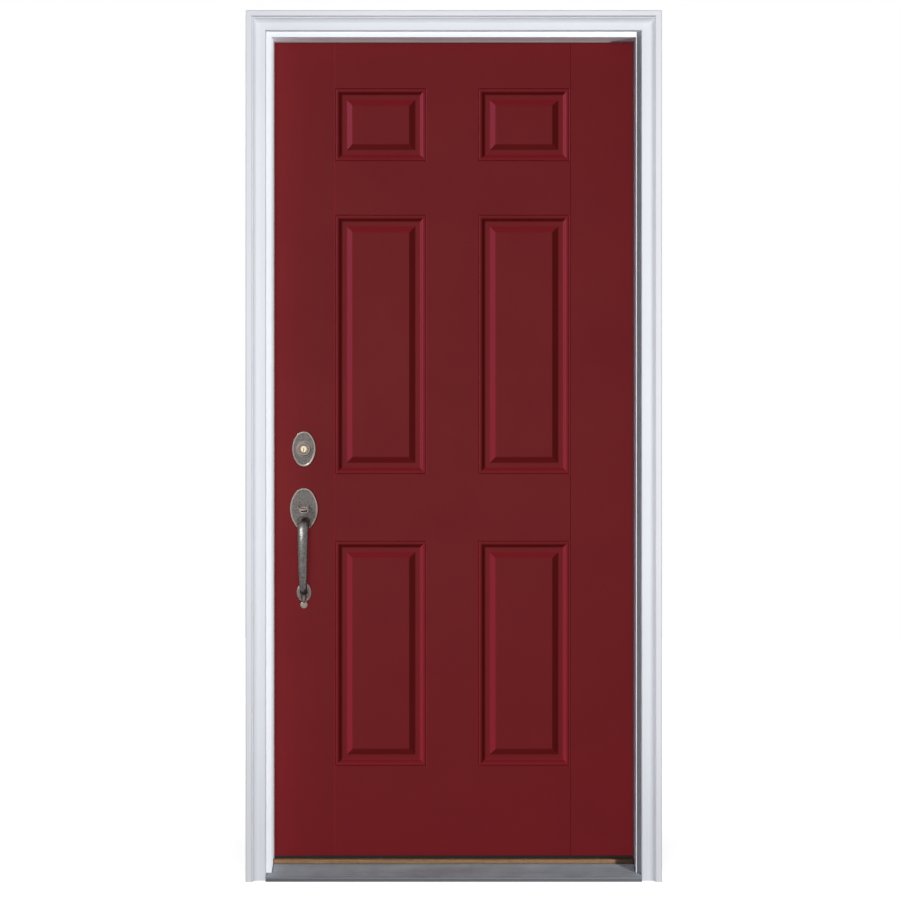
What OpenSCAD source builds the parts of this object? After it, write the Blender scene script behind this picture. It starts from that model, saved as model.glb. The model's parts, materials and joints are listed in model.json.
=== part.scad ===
// Prehung front door: a six-panel fiberglass slab in its frame, with sill, hinges and entry lockset.
// X runs right as seen from outside, Y runs into the house and Z runs up.
// The origin lies on the underside of the sill, midway between the jambs, in the plane of their front edges.

/* [Slab] */
// Width of the slab
slab_w = 902; // [860:1:960]
// Height of the slab
slab_h = 2003; // [1960:1:2100]
// Thickness of the slab
slab_t = 44.5; // [44:0.5:48]
// Thickness of each pressed skin
skin_t = 2; // [1.6:0.1:2.4]
// Width of the timber stiles inside the slab
stile_w = 38; // [32:1:44]
// Height of the rails inside the slab
rail_h = 38; // [30:1:60]
// Width of the lock block beside the lock stile
block_w = 110; // [96:1:115]
// How far the lock block runs past the lock bores and the foot screw
block_margin = 40; // [32:1:60]

/* [Panels] */
// Face of the lock stile, from the slab edge to the panels
lock_face = 161; // [156:1:180]
// Face of the hinge stile, from the slab edge to the panels
hinge_face = 167; // [120:1:190]
// Face of the mullion between the two columns of panels
mullion_w = 127; // [90:1:160]
// Face of the bottom rail
bottom_face = 219.5; // [180:0.5:260]
// Height of the bottom panels
bottom_panel_h = 551.5; // [480:0.5:600]
// Face of the lock rail
lock_rail = 163.5; // [120:0.5:200]
// Face of the rail between the middle and the top panels
frieze_rail = 131.5; // [100:0.5:160]
// Height of the top panels
top_panel_h = 178.5; // [140:0.5:220]
// Face of the top rail
top_face = 123.5; // [100:0.5:150]
// Width of the fine groove round each panel
quirk_w = 2.4; // [1.6:0.1:3.2]
// Depth of the fine groove round each panel
quirk_d = 1.2; // [0.8:0.1:1.4]
// Width of the bead between the groove and the ogee
bead_w = 3.6; // [2:0.1:5]
// Width of the ogee moulding
ogee_w = 12; // [10:0.5:14]
// Depth of the pressed pan below the face
pan_d = 8; // [6:0.5:9]
// Width of the flat floor between the ogee and the raised field
pan_flat = 10; // [6:0.5:14]
// Width of the bevel of the raised field
bevel_w = 14; // [8:0.5:20]
// How far the raised field lies below the face
field_d = 1; // [0.5:0.1:2]
// Width of the embossed lines where stiles and rails meet
joint_w = 1.8; // [1:0.1:2.4]
// Depth of the embossed lines where stiles and rails meet
joint_d = 0.9; // [0.5:0.1:1.2]

/* [Frame] */
// Depth of the jambs, through the wall
jamb_depth = 116; // [110:1:140]
// Thickness of the jamb boards behind the slab edge
jamb_t = 19; // [17:0.5:25]
// How far the stop stands into the opening
stop_proj = 12.7; // [11:0.1:16]
// Gap between the slab edges and the jambs
edge_gap = 3; // [2.5:0.1:4]
// Space between the stop and the slab for the seal
seal_gap = 6.5; // [5:0.5:9]
// Width of the kerf that holds the seal
kerf_w = 3; // [2:0.1:4]
// Depth of the kerf that holds the seal
kerf_d = 9; // [6:0.5:12]
// Distance of the kerf from the rabbet
kerf_inset = 2; // [1.5:0.1:3]
// How far the seal shows past the stop
seal_over = 2.5; // [1:0.1:4]
// Gap between the seal and the closed slab
seal_clear = 0.3; // [0.2:0.1:0.6]

/* [Brickmould] */
// Width of the brickmould
brick_w = 48; // [47:0.1:64]
// Thickness of the brickmould at its back band
brick_t = 31.75; // [29:0.25:40]
// Jamb edge left showing inside the brickmould
brick_reveal = 12.4; // [6:0.1:14]
// Width of the flat at its inner edge
brick_flat_w = 19; // [15:0.5:20]
// Thickness of the flat at its inner edge
brick_flat_t = 14; // [10:0.5:15]
// Radius of its cove
brick_cove = 11.5; // [10:0.5:12.5]
// Width of its back band
brick_band = 16; // [12:0.5:17]
// Rounding of its front edges
brick_ease = 3; // [1:0.5:5]

/* [Sill] */
// Height of the sill nose
nose_h = 10; // [8:0.5:14]
// How far the nose lies behind the face of the brickmould
nose_inset = 3; // [1:0.5:10]
// Height of the ramp at its back
ramp_z = 30; // [27:0.5:33]
// Height of the channel floor under the cap
channel_z = 19; // [14:0.5:22]
// Height of the sill behind the cap
lip_z = 32; // [26:0.5:36]
// Thickness of the aluminium deck
deck_t = 2.2; // [1.8:0.1:3]
// Number of grip grooves along the ramp
ramp_grooves = 6; // [3:1:8]
// Depth of the grip grooves
ramp_groove_d = 0.7; // [0.4:0.1:1]
// Depth and height of the drip groove in the nose
nose_groove = 2; // [1:0.1:2.5]
// Width of the oak cap
cap_w = 47; // [42:0.5:50]
// Height of the oak cap above the channel floor
cap_h = 22.5; // [19:0.5:26]
// How far the cap leads the outside face of the slab
cap_lead = 18.5; // [14:0.5:22]
// Rounding of the top edges of the cap
cap_ease = 4; // [2:0.5:6]
// Gap round the cap
cap_gap = 0.3; // [0.2:0.1:0.6]
// Number of adjusting screws in the cap
cap_screws = 5; // [3:1:7]
// Radius of the adjusting screws
cap_screw_r = 5; // [3.5:0.5:6]
// Height of the door sweep below the slab
sweep_h = 5.2; // [4:0.1:8]
// Gap between the sweep and the cap
sweep_clear = 0.3; // [0.2:0.1:1]
// Thickness of the sweep walls
sweep_wall = 1.6; // [1.2:0.1:2]
// Height of the barbs that hold the sweep in the slab
sweep_barb = 8; // [6:0.5:12]

/* [Hinges] */
// Height of a hinge
hinge_h = 101.6; // [90:0.1:114]
// Thickness of a hinge leaf
leaf_t = 2.5; // [2:0.1:3]
// Depth of a leaf along the slab edge
leaf_w = 34; // [30:0.5:38]
// Corner radius of a leaf
leaf_corner = 14; // [6:0.5:15]
// Radius of the hinge barrel
barrel_r = 7; // [6.2:0.1:7.2]
// Radius of the hinge pin
pin_r = 3.95; // [3.4:0.05:4.2]
// Running clearance round the pin
pin_clear = 0.05; // [0.03:0.01:0.08]
// How far the pin stands inside the house from the slab
pin_off = 7.7; // [7.7:0.1:9]
// Gap between two knuckles
knuckle_gap = 0.4; // [0.3:0.1:0.8]
// From the slab top to the top hinge
hinge_from_top = 178; // [130:1:220]
// From the slab bottom to the bottom hinge
hinge_from_bottom = 279; // [200:1:320]
// Shank radius of the wood screws
screw_r = 2.2; // [1.8:0.1:2.6]
// Head radius of the wood screws
screw_head_r = 4.2; // [3.6:0.1:4.8]
// Length of the wood screws
screw_len = 16; // [10:0.5:16.5]
// Clearance round screws and fixed fittings
fit_clear = 0.1; // [0.05:0.05:0.2]

/* [Lockset] */
// From the slab edge to the lock axes
backset = 84.5; // [80:0.5:92]
// Height of the deadbolt above the slab bottom
deadbolt_up = 996; // [940:1:1040]
// From the deadbolt down to the latch
lock_spacing = 139.7; // [130:0.1:160]
// Radius of the cross bores
cross_r = 27; // [25:0.5:28]
// Radius of the edge bores
edge_r = 12.7; // [12.5:0.1:13.5]
// Radius of the bolt cases
case_r = 12; // [11.5:0.1:12.4]
// Wall of the bolt cases
case_wall = 1.8; // [1.2:0.1:2.2]
// Sliding clearance round the bolts
slide_clear = 0.2; // [0.1:0.05:0.3]
// Thickness of the deadbolt
bolt_t = 15; // [12:0.5:16]
// Length of the deadbolt
bolt_len = 62; // [54:0.5:64]
// Throw of the deadbolt
bolt_throw = 25; // [20:0.5:26]
// Thickness of the latch bolt
latch_t = 13; // [11:0.5:15]
// Length of the latch bolt inside the slab
latch_len = 52; // [44:0.5:58]
// Throw of the latch bolt
latch_throw = 12.5; // [10:0.5:13]
// Width of the faceplates
face_w = 25.4; // [24:0.1:28]
// Height of the faceplates
face_h = 57; // [52:0.5:64]
// Thickness of the faceplates and strikes
plate_metal = 2.4; // [1.8:0.1:3]
// Width of the strikes
strike_w = 30; // [26:0.5:32]
// Height of the latch strike
latch_strike_h = 57; // [52:0.5:64]
// Height of the deadbolt strike
bolt_strike_h = 70; // [60:0.5:80]
// Room round a bolt in its strike
strike_clear = 1.2; // [0.8:0.1:2]
// Offset of the mounting screws above and below a lock axis
mount_off = 20; // [18:0.5:21]
// Radius of the mounting screws
mount_screw_r = 2.4; // [2:0.1:2.8]
// Radius of the posts that take the mounting screws
post_r = 4.6; // [4:0.1:5]

/* [Deadbolt trim] */
// Width of the oval roses
rose_w = 60.5; // [56:0.5:66]
// Height of the oval roses
rose_h = 89; // [80:0.5:96]
// Thickness of the oval roses
rose_t = 7; // [5:0.5:9]
// Width of the raised rim of the oval plates
rim_w = 7; // [5:0.5:9]
// How far the field of an oval plate lies below its rim
rim_dish = 1.6; // [1:0.1:2.4]
// Radius of the cylinder collar
collar_r = 17.5; // [15:0.5:19]
// How far the collar stands off the slab
collar_out = 15; // [12:0.5:20]
// Radius of the key plug
plug_r = 7.1; // [6:0.1:8]
// Length of the key plug
plug_len = 24; // [21:0.5:26]
// Width of the keyway
keyway_w = 1.8; // [1.2:0.1:2.4]
// Height of the keyway
keyway_h = 8; // [6:0.5:9]
// Radius of the thumb turn shaft
turn_shaft_r = 5; // [4.5:0.1:6]
// Length of the thumb turn wing
turn_len = 36; // [30:0.5:42]
// Thickness of the thumb turn wing
turn_t = 8; // [6:0.5:10]
// How far the thumb turn stands off the slab
turn_out = 24; // [20:0.5:30]
// Width of the tailpiece blade
tail_w = 6; // [5:0.5:7]
// Thickness of the tailpiece blade
tail_t = 2.4; // [1.8:0.1:3]

/* [Handle] */
// Width of the handle plate
plate_w = 71; // [66:0.5:76]
// Height of the handle plate
plate_h = 105; // [100:0.5:112]
// Thickness of the handle plate
plate_t = 8; // [7:0.5:9]
// How far the plate centre lies below the latch axis
plate_drop = 7; // [4:0.5:9]
// Width of the thumb piece
thumb_w = 29; // [24:0.5:31]
// Sag of the curved thumb piece
thumb_sag = 8.5; // [6:0.5:9]
// Thickness of the thumb piece
thumb_t = 3.6; // [3:0.1:4.5]
// How far the thumb piece reaches out of the plate
thumb_reach = 38; // [30:0.5:42]
// Radius of the thumb piece pivot
thumb_pin_r = 2.5; // [2:0.1:3]
// Distance of the grip root below the plate centre
grip_drop = 29; // [27:0.5:31]
// Standoff of the grip from the plate
grip_out = 46; // [40:0.5:52]
// Width of the grip at its top
grip_top_w = 28; // [24:0.5:30]
// Width of the grip at its foot
grip_low_w = 18; // [15:0.5:22]
// Thickness of the grip at its top
grip_top_t = 17; // [14:0.5:19]
// Thickness of the grip at its foot
grip_low_t = 12.5; // [10:0.5:15]
// From the latch axis down to the middle of the foot
foot_down = 211; // [195:1:225]
// Width of the foot
foot_w = 36.5; // [32:0.5:40]
// Height of the foot
foot_h = 47; // [42:0.5:52]
// Thickness of the foot
foot_t = 7; // [6:0.5:9]
// Radius of the screw pad below the foot
pad_r = 9; // [8:0.5:11]
// Thickness of the screw pad
pad_t = 5; // [4:0.5:6]

/* [Inside knob] */
// Radius of the knob
knob_r = 27; // [24:0.5:30]
// How far the knob stands off the slab
knob_out = 62; // [56:0.5:70]
// Radius of the knob neck
neck_r = 11; // [9:0.5:13]
// Side of the square spindle
spindle_w = 7; // [6:0.5:8]

/* [Hidden] */
$fn = 48;
// Overcut that lets a cutter clear a face
over = 1;

// Slab and frame planes
slab_x = slab_w / 2;
rabbet_x = slab_x + edge_gap;
jamb_x = rabbet_x + jamb_t;
stop_x = rabbet_x - stop_proj;
slab_back = jamb_depth;
slab_front = slab_back - slab_t;
slab_mid = (slab_front + slab_back) / 2;
stop_back = slab_front - seal_gap;
cap_top = channel_z + cap_h;
slab_bot = cap_top + sweep_clear + sweep_h;
slab_top = slab_bot + slab_h;
head_rabbet = slab_top + edge_gap;
head_stop = head_rabbet - stop_proj;
head_top = head_rabbet + jamb_t;
brick_in = stop_x + brick_reveal;
brick_out = brick_in + brick_w;
brick_in_z = head_stop + brick_reveal;
brick_top = brick_in_z + brick_w;

// Sill profile
nose_y = nose_inset - brick_t;
cap_y0 = slab_front - cap_lead;
cap_y1 = cap_y0 + cap_w;
channel_y0 = cap_y0 - cap_gap;
channel_y1 = cap_y1 + cap_gap;
ramp_run = channel_y0 - nose_y;
ramp_tilt = atan2(ramp_z - nose_h, ramp_run);
ramp_pitch = ramp_run / (ramp_grooves + 1);
cap_x = stop_x - cap_gap;
cap_screw_span = cap_x / cap_screws * 2;
sweep_margin = 3;
sweep_fins = 3;
sweep_depth = slab_t - 2 * sweep_margin;
sweep_pitch = (sweep_depth - sweep_wall) / (sweep_fins - 1);

// Core of the slab
core_y0 = slab_front + skin_t;
core_y1 = slab_back - skin_t;
stile_x = slab_x - stile_w;
rail_bot = slab_bot + rail_h;
rail_top = slab_top - rail_h;

// Panel layout
panel_w = (slab_w - lock_face - hinge_face - mullion_w) / 2;
mid_panel_h = slab_h - bottom_face - bottom_panel_h - lock_rail - frieze_rail - top_panel_h - top_face;
column_x = [
  -slab_x + lock_face + panel_w / 2,
  slab_x - hinge_face - panel_w / 2
];
row_z0 = [
  slab_bot + bottom_face,
  slab_bot + bottom_face + bottom_panel_h + lock_rail,
  slab_top - top_face - top_panel_h
];
row_h = [bottom_panel_h, mid_panel_h, top_panel_h];
joint_off = 2.8;
joint_x = [-slab_x + lock_face - joint_off, slab_x - hinge_face + joint_off];
ogee_in = quirk_w + bead_w;
field_foot = ogee_in + ogee_w + pan_flat;
ogee_r = (ogee_w * ogee_w + pan_d * pan_d) / (4 * pan_d);
pan_spread_ratio = 0.75;
pan_spread = pan_spread_ratio * skin_t;

// Hinges
pin_x = slab_x + edge_gap / 2;
pin_y = slab_back + pin_off;
hinge_z = [
  slab_bot + hinge_from_bottom + hinge_h / 2,
  slab_bot + (hinge_from_bottom + slab_h - hinge_from_top) / 2,
  slab_top - hinge_from_top - hinge_h / 2
];
knuckles = 5;
knuckle_h = hinge_h / knuckles;
pin_head_r = barrel_r - over;
pin_head_h = 4;
leaf_screw_count = 4;
leaf_screw_in = 8;
leaf_screw_edge = 11;
leaf_screw_pitch = (hinge_h - 2 * leaf_screw_edge) / (leaf_screw_count - 1);
leaf_screws = [
  for (i = [0:leaf_screw_count - 1])
    [
      slab_back - leaf_w / 2 + (i == 0 || i == leaf_screw_count - 1 ? 1 : -1) * leaf_screw_in,
      (i - (leaf_screw_count - 1) / 2) * leaf_screw_pitch
    ]
];

// Lock axes and inner fits
lock_x = backset - slab_x;
bolt_z = slab_bot + deadbolt_up;
latch_z = bolt_z - lock_spacing;
case_bore_r = case_r - case_wall;
slide_r = case_bore_r - slide_clear;
case_end_x = lock_x + case_r;
face_corner = face_w / 4;
hub_r = 5.5;
block_z0 = latch_z - foot_down - block_margin;
block_z1 = bolt_z + cross_r + block_margin;
block_x1 = block_w - stile_x;
tail_gap = 0.5;
plug_back = slab_front - collar_out + plug_len;
case_gap = 0.7;
mount_depth = slab_t / 2 - case_r - case_gap;
mount_head_ratio = 1.8;
mount_head_r = mount_screw_r * mount_head_ratio;
mount_head_t = 2.4;
collar_lip = 1.5;
barrel_body_r = collar_r - collar_lip;
collar_taper = 2;
turn_sink = 4;
turn_dome_ratio = 0.6;
turn_dome = turn_len * turn_dome_ratio;
knob_round_ratio = 0.55;
knob_round = knob_r * knob_round_ratio;
oval_run = 0.8;
oval_rise = 0.6;
rim_edge = 0.35;
rim_bevel = 0.3;
rim_land = 0.6;
keyway_low = 0.7;
keyway_deep = 0.8;

// Handle
plate_z = latch_z - plate_drop;
plate_face = plate_t - rim_dish;
grip_top_z = plate_z - grip_drop;
foot_z = latch_z - foot_down;
foot_sink = 2;
pad_lap = 2;
pad_z = foot_z - foot_h / 2 - pad_r + pad_lap;
grip_rings = 24;
grip_sides = 18;
grip_square = 0.72;
thumb_r = (thumb_w * thumb_w / 4 + thumb_sag * thumb_sag) / (2 * thumb_sag);
thumb_pivot = 4.5;
thumb_stem_w = 13;
thumb_gap = 4;
thumb_blunt = 4;
thumb_drop = 4;
stem_t = 4.5;
stem_z = stem_t / 2 - thumb_sag - thumb_t / 2;
stem_lap = 8;
ear_t = 3;
ear_x = thumb_stem_w / 2 + over;
ear_half = 7;
ear_round = thumb_pin_r + over;

// Extrude an outline drawn in Y and Z along X
module along_x(x0, x1) {
  translate([x0, 0, 0])
    rotate([90, 0, 90])
      linear_extrude(x1 - x0)
        children();
}

// Extrude an outline drawn in X and Z along Y
module along_y(y0, y1) {
  translate([0, y1, 0])
    rotate([90, 0, 0])
      linear_extrude(y1 - y0)
        children();
}

// Extrude an outline drawn in X and Y along Z
module along_z(z0, z1) {
  translate([0, 0, z0])
    linear_extrude(z1 - z0)
      children();
}

// Waste outside a rounded corner whose arc is centred on the origin
module corner_waste(r) {
  difference() {
    square(r + over);
    circle(r);
  }
}

// Local Z points out of the house, on the outside face at a lock height
module outward(z) {
  translate([lock_x, slab_front, z])
    rotate([90, 0, 0])
      children();
}

// Local Z points into the house, on the inside face at a lock height
module inward(z) {
  translate([lock_x, slab_back, z])
    rotate([-90, 0, 0])
      children();
}

// Rabbeted jamb board: first axis from the rabbet into the opening, second from the stop to the inside
module jamb_profile() {
  difference() {
    polygon([
      [-jamb_t, -stop_back], [stop_proj, -stop_back], [stop_proj, 0], [0, 0],
      [0, jamb_depth - stop_back], [-jamb_t, jamb_depth - stop_back]
    ]);
    translate([kerf_inset, -kerf_d])
      square([kerf_w, kerf_d + over]);
  }
}

// Foam seal with its fin in the kerf, on the same axes as the jamb profile
module seal_profile() {
  nose_r = (seal_gap - seal_clear) / 2;
  nose_u = stop_proj + seal_over - nose_r;
  translate([over, 0])
    square([nose_u - over, 2 * nose_r]);
  translate([nose_u, nose_r])
    circle(nose_r);
  translate([kerf_inset + fit_clear, fit_clear - kerf_d])
    square([kerf_w - 2 * fit_clear, kerf_d]);
}

// Brickmould: first axis from its inner to its outer edge, second out of the wall
module brick_profile() {
  band_u = brick_w - brick_band;
  cove_t = brick_flat_t + brick_cove;
  difference() {
    square([brick_w, cove_t]);
    translate([-over, brick_flat_t])
      square([brick_flat_w + over, brick_cove + over]);
    translate([brick_flat_w, cove_t])
      circle(brick_cove);
    translate([brick_ease, brick_flat_t - brick_ease])
      mirror([1, 0])
        corner_waste(brick_ease);
  }
  difference() {
    translate([band_u, 0])
      square([brick_band, brick_t]);
    translate([brick_w - brick_ease, brick_t - brick_ease])
      corner_waste(brick_ease);
    translate([band_u + brick_ease, brick_t - brick_ease])
      mirror([1, 0])
        corner_waste(brick_ease);
  }
}

// Outside outline of the sill, in Y and Z
module sill_outline() {
  polygon([
    [nose_y, 0], [nose_y, nose_h], [channel_y0, ramp_z], [channel_y0, channel_z],
    [channel_y1, channel_z], [channel_y1, lip_z], [jamb_depth, lip_z], [jamb_depth, 0]
  ]);
}

// Outline of the substrate below the deck, in Y and Z
module substrate_outline() {
  polygon([
    [nose_y + deck_t, 0], [nose_y + deck_t, nose_h - deck_t],
    [channel_y0 - deck_t, ramp_z - deck_t], [channel_y0 - deck_t, channel_z - deck_t],
    [channel_y1 + deck_t, channel_z - deck_t], [channel_y1 + deck_t, lip_z - deck_t],
    [jamb_depth - deck_t, lip_z - deck_t], [jamb_depth - deck_t, 0]
  ]);
}

// Sill between the jambs, with its nose held between the brickmould legs
module sill_run() {
  difference() {
    along_x(-rabbet_x, rabbet_x)
      children();
    for (side = [-1, 1])
      translate([side * brick_in + (side < 0 ? -brick_w : 0), -brick_t - over, -over])
        cube([brick_w, brick_t + over, ramp_z + 2 * over]);
  }
}

// Hinge-side jamb before its mortises
module side_jamb_blank() {
  difference() {
    along_z(0, head_top)
      translate([rabbet_x, stop_back])
        mirror([1, 0])
          jamb_profile();
    translate([stop_x - over, -over, head_stop])
      cube([stop_proj + over, stop_back + 2 * over, jamb_t + stop_proj + over]);
    sill_run()
      sill_outline();
  }
}

module side_brickmould() {
  intersection() {
    along_z(0, brick_top)
      translate([brick_in, 0])
        mirror([0, 1])
          brick_profile();
    along_y(-brick_t - over, over)
      polygon([[brick_in, 0], [brick_out, 0], [brick_out, brick_top], [brick_in, brick_in_z]]);
  }
}

module side_weatherstrip() {
  along_z(cap_top + cap_gap, head_stop - seal_over - cap_gap)
    translate([rabbet_x, stop_back])
      mirror([1, 0])
        seal_profile();
}

// Leaf outline in Y and Z, centred on the hinge height
module leaf_outline(reach) {
  difference() {
    translate([slab_back - leaf_w, -hinge_h / 2])
      square([leaf_w + reach, hinge_h]);
    for (end = [0, 1])
      mirror([0, end])
        translate([slab_back - leaf_w + leaf_corner, hinge_h / 2 - leaf_corner])
          mirror([1, 0])
            corner_waste(leaf_corner);
  }
}

// One screw along X from a face, its head at the origin and its shank towards +X
module wood_screw(grow) {
  head_t = screw_head_r - screw_r;
  rotate([0, 90, 0]) {
    cylinder(r1 = screw_head_r + grow, r2 = screw_r + grow, h = head_t);
    cylinder(r = screw_r + grow, h = screw_len + grow);
  }
}

// A wood screw at each hole of a leaf, or the holes themselves
module leaf_screw_set(z, grow) {
  for (p = leaf_screws)
    translate([0, p[0], z + p[1]])
      wood_screw(grow);
}

// Jamb-side screws at one hinge
module jamb_screws_at(z, grow) {
  translate([rabbet_x, 0, 0])
    leaf_screw_set(z, grow);
}

// Slab-side screws at one hinge
module slab_screws_at(z, grow) {
  translate([slab_x, 0, 0])
    mirror([1, 0, 0])
      leaf_screw_set(z, grow);
}

// Hinge leaf: plate from x0, with its own share of the knuckles
module hinge_leaf(z, x0, first) {
  difference() {
    union() {
      translate([0, 0, z])
        along_x(x0, x0 + leaf_t)
          leaf_outline(0);
      for (i = [first:2:knuckles - 1])
        translate([0, 0, z - hinge_h / 2 + i * knuckle_h + knuckle_gap / 2]) {
          translate([pin_x, pin_y, 0])
            cylinder(r = barrel_r, h = knuckle_h - knuckle_gap);
          translate([x0, slab_back - over, 0])
            cube([leaf_t, pin_off + over, knuckle_h - knuckle_gap]);
        }
    }
    translate([pin_x, pin_y, z - hinge_h / 2 - over])
      cylinder(r = pin_r + pin_clear, h = hinge_h + 2 * over);
    jamb_screws_at(z, fit_clear);
    slab_screws_at(z, fit_clear);
  }
}

module jamb_leaf(i) {
  hinge_leaf(hinge_z[i], rabbet_x, 0);
}

module slab_leaf(i) {
  hinge_leaf(hinge_z[i], slab_x - leaf_t, 1);
}

// Hinge pin with its button head on the top knuckle
module hinge_pin(i) {
  translate([pin_x, pin_y, hinge_z[i] - hinge_h / 2]) {
    cylinder(r = pin_r, h = hinge_h);
    translate([0, 0, hinge_h - knuckle_gap / 2])
      cylinder(r1 = pin_head_r, r2 = pin_r, h = pin_head_h);
  }
}

// Section of a pan: an ogee wall on each side of a flat floor, with the second axis into the slab
module pan_section(half_w, above) {
  mouth = half_w - ogee_in;
  difference() {
    polygon([
      [-mouth, -above], [mouth, -above], [mouth, 0], [mouth - ogee_w / 2, pan_d / 2], [mouth - ogee_w, pan_d],
      [ogee_w - mouth, pan_d], [ogee_w / 2 - mouth, pan_d / 2], [-mouth, 0]
    ]);
    for (side = [-1, 1])
      translate([side * mouth, ogee_r])
        circle(ogee_r);
  }
  intersection() {
    for (side = [-1, 1])
      translate([side * (mouth - ogee_w), pan_d - ogee_r])
        circle(ogee_r);
    translate([-half_w, -above])
      square([2 * half_w, pan_d + above + over]);
  }
}

// Section of the raised field, whose sides slope out to the floor of the pan and below it
module field_section(half_w, below) {
  foot = half_w - field_foot;
  spread = below * bevel_w / (pan_d - field_d);
  polygon([
    [bevel_w - foot, field_d], [foot - bevel_w, field_d],
    [foot + spread, pan_d + below], [-foot - spread, pan_d + below]
  ]);
}

// Section of a straight-sided shape that is half_w wide at the face and narrows by slope into the slab
module tapered_section(half_w, slope) {
  polygon([
    [-half_w - slope * over, -over], [half_w + slope * over, -over],
    [half_w - slope * quirk_d, quirk_d], [slope * quirk_d - half_w, quirk_d]
  ]);
}

// Cross two sections, the first across a panel and the second up it, so that their walls meet in mitres
module crossed(w, h) {
  intersection() {
    translate([0, 0, -h / 2])
      linear_extrude(h)
        children(0);
    rotate([0, 90, 0])
      translate([0, 0, -w / 2])
        linear_extrude(w)
          children(1);
  }
}

// Pressed pan of one panel, set off from the face
module pan(h, spread, above) {
  crossed(panel_w + 2 * spread, h + 2 * spread) {
    pan_section(panel_w / 2 + spread, above);
    pan_section(h / 2 + spread, above);
  }
}

// Raised field of one panel
module field(h, below) {
  crossed(panel_w, h) {
    field_section(panel_w / 2, below);
    field_section(h / 2, below);
  }
}

// Fine groove round one panel
module quirk(h) {
  slope = quirk_w / 2 / quirk_d;
  reach = 2 * over * (1 + slope);
  difference() {
    crossed(panel_w + reach, h + reach) {
      tapered_section(panel_w / 2, slope);
      tapered_section(h / 2, slope);
    }
    crossed(panel_w + reach, h + reach) {
      tapered_section(panel_w / 2 - quirk_w, -slope);
      tapered_section(h / 2 - quirk_w, -slope);
    }
  }
}

// Hollow that a pan leaves behind the skin, filled by the foam behind its field
module pan_back(h, above) {
  translate([0, skin_t, 0])
    difference() {
      pan(h, pan_spread, above);
      field(h, over);
    }
}

// V line in the face along Z, or along X when turned
module joint_line(length) {
  slope = joint_w / 2 / joint_d;
  half_w = joint_w / 2 + slope * over;
  translate([0, 0, -length / 2])
    linear_extrude(length)
      polygon([[-half_w, -over], [half_w, -over], [0, joint_d]]);
}

// Embossed lines where the stiles, rails and mullions meet
module joint_lines() {
  bridge = mullion_w - 2 * joint_off;
  for (x = joint_x)
    translate([x, slab_front, (slab_bot + slab_top) / 2])
      joint_line(slab_h + 2 * over);
  for (r = [0:2], end = [0, 1])
    translate([(column_x[0] + column_x[1]) / 2, slab_front, row_z0[r] + end * row_h[r]])
      rotate([0, 90, 0])
        joint_line(bridge);
}

// Cross bores for the deadbolt and the latch
module cross_bores() {
  for (z = [latch_z, bolt_z])
    translate([lock_x, slab_front - over, z])
      rotate([-90, 0, 0])
        cylinder(r = cross_r, h = slab_t + 2 * over);
}

// Pressed skin on the outside face, with its lock bores
module pressed_skin() {
  difference() {
    union() {
      translate([-slab_x, slab_front, slab_bot])
        cube([slab_w, skin_t, slab_h]);
      for (x = column_x, r = [0:2])
        translate([x, slab_front + skin_t, row_z0[r] + row_h[r] / 2])
          pan(row_h[r], pan_spread, skin_t / 2);
    }
    for (x = column_x, r = [0:2])
      translate([x, slab_front, row_z0[r] + row_h[r] / 2]) {
        difference() {
          pan(row_h[r], 0, over);
          field(row_h[r], over);
        }
        translate([0, skin_t, 0])
          field(row_h[r], over);
        quirk(row_h[r]);
      }
    joint_lines();
    cross_bores();
  }
}

// Turn an outside piece to the inside face
module inside_out() {
  translate([0, 2 * slab_mid, 0])
    mirror([0, 1, 0])
      children();
}

// Half section of a turned plate of radius r, from its rim to depth inside it
module plate_section(r, depth, t, dish) {
  polygon([
    [r - depth, 0], [r, 0], [r, t * rim_edge], [r - rim_w * rim_bevel, t], [r - rim_w * rim_land, t],
    [r - rim_w, t - dish], [r - depth, t - dish]
  ]);
}

// Turned plate of radius r cut to the wedge between two directions from its centre
module plate_wedge(r, depth, t, dish, from, to) {
  reach = 2 * r;
  intersection() {
    rotate_extrude()
      plate_section(r, depth, t, dish);
    translate([0, 0, -over])
      linear_extrude(t + 2 * over)
        polygon([[0, 0], reach * from, reach * (from + to), reach * to]);
  }
}

// Oval trim plate with a bevelled rim round a field that lies lower by dish.
// Its four arcs meet in tangents along the slope of a three-four-five triangle.
module oval_plate(w, h, t, dish) {
  a = w / 2;
  b = h / 2;
  centres = (b - a) / (oval_run + oval_rise - 1);
  side_r = a + oval_run * centres;
  end_r = b - oval_rise * centres;
  for (side = [0, 1])
    mirror([side, 0, 0])
      translate([a - side_r, 0, 0])
        plate_wedge(side_r, a + over, t, dish, [oval_run, -oval_rise], [oval_run, oval_rise]);
  for (end = [0, 1])
    mirror([0, end, 0])
      translate([0, b - end_r, 0])
        plate_wedge(end_r, end_r, t, dish, [oval_run, oval_rise], [-oval_run, oval_rise]);
}

// Screw that draws an outside and an inside fitting together, head on the plate face
module mount_screw(grow) {
  reach = slab_t - mount_depth / 3;
  translate([0, 0, rose_t - rim_dish - mount_head_t])
    cylinder(r = mount_head_r + grow, h = mount_head_t + (grow > 0 ? over : 0));
  translate([0, 0, -reach])
    cylinder(r = mount_screw_r + grow, h = reach + rose_t - rim_dish - mount_head_t);
}

// Pair of mounting screws at a lock height, or their holes
module mount_screws(z, grow) {
  for (s = [-1, 1])
    inward(z + s * mount_off)
      mount_screw(grow);
}

// Pair of posts behind an outside fitting
module mount_posts(z) {
  for (s = [-1, 1])
    outward(z + s * mount_off)
      translate([0, 0, -mount_depth])
        cylinder(r = post_r, h = mount_depth);
}

// Cylinder along X on a lock axis
module lock_rod(z, x0, x1, r) {
  translate([x0, slab_mid, z])
    rotate([0, 90, 0])
      cylinder(r = r, h = x1 - x0);
}

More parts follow.
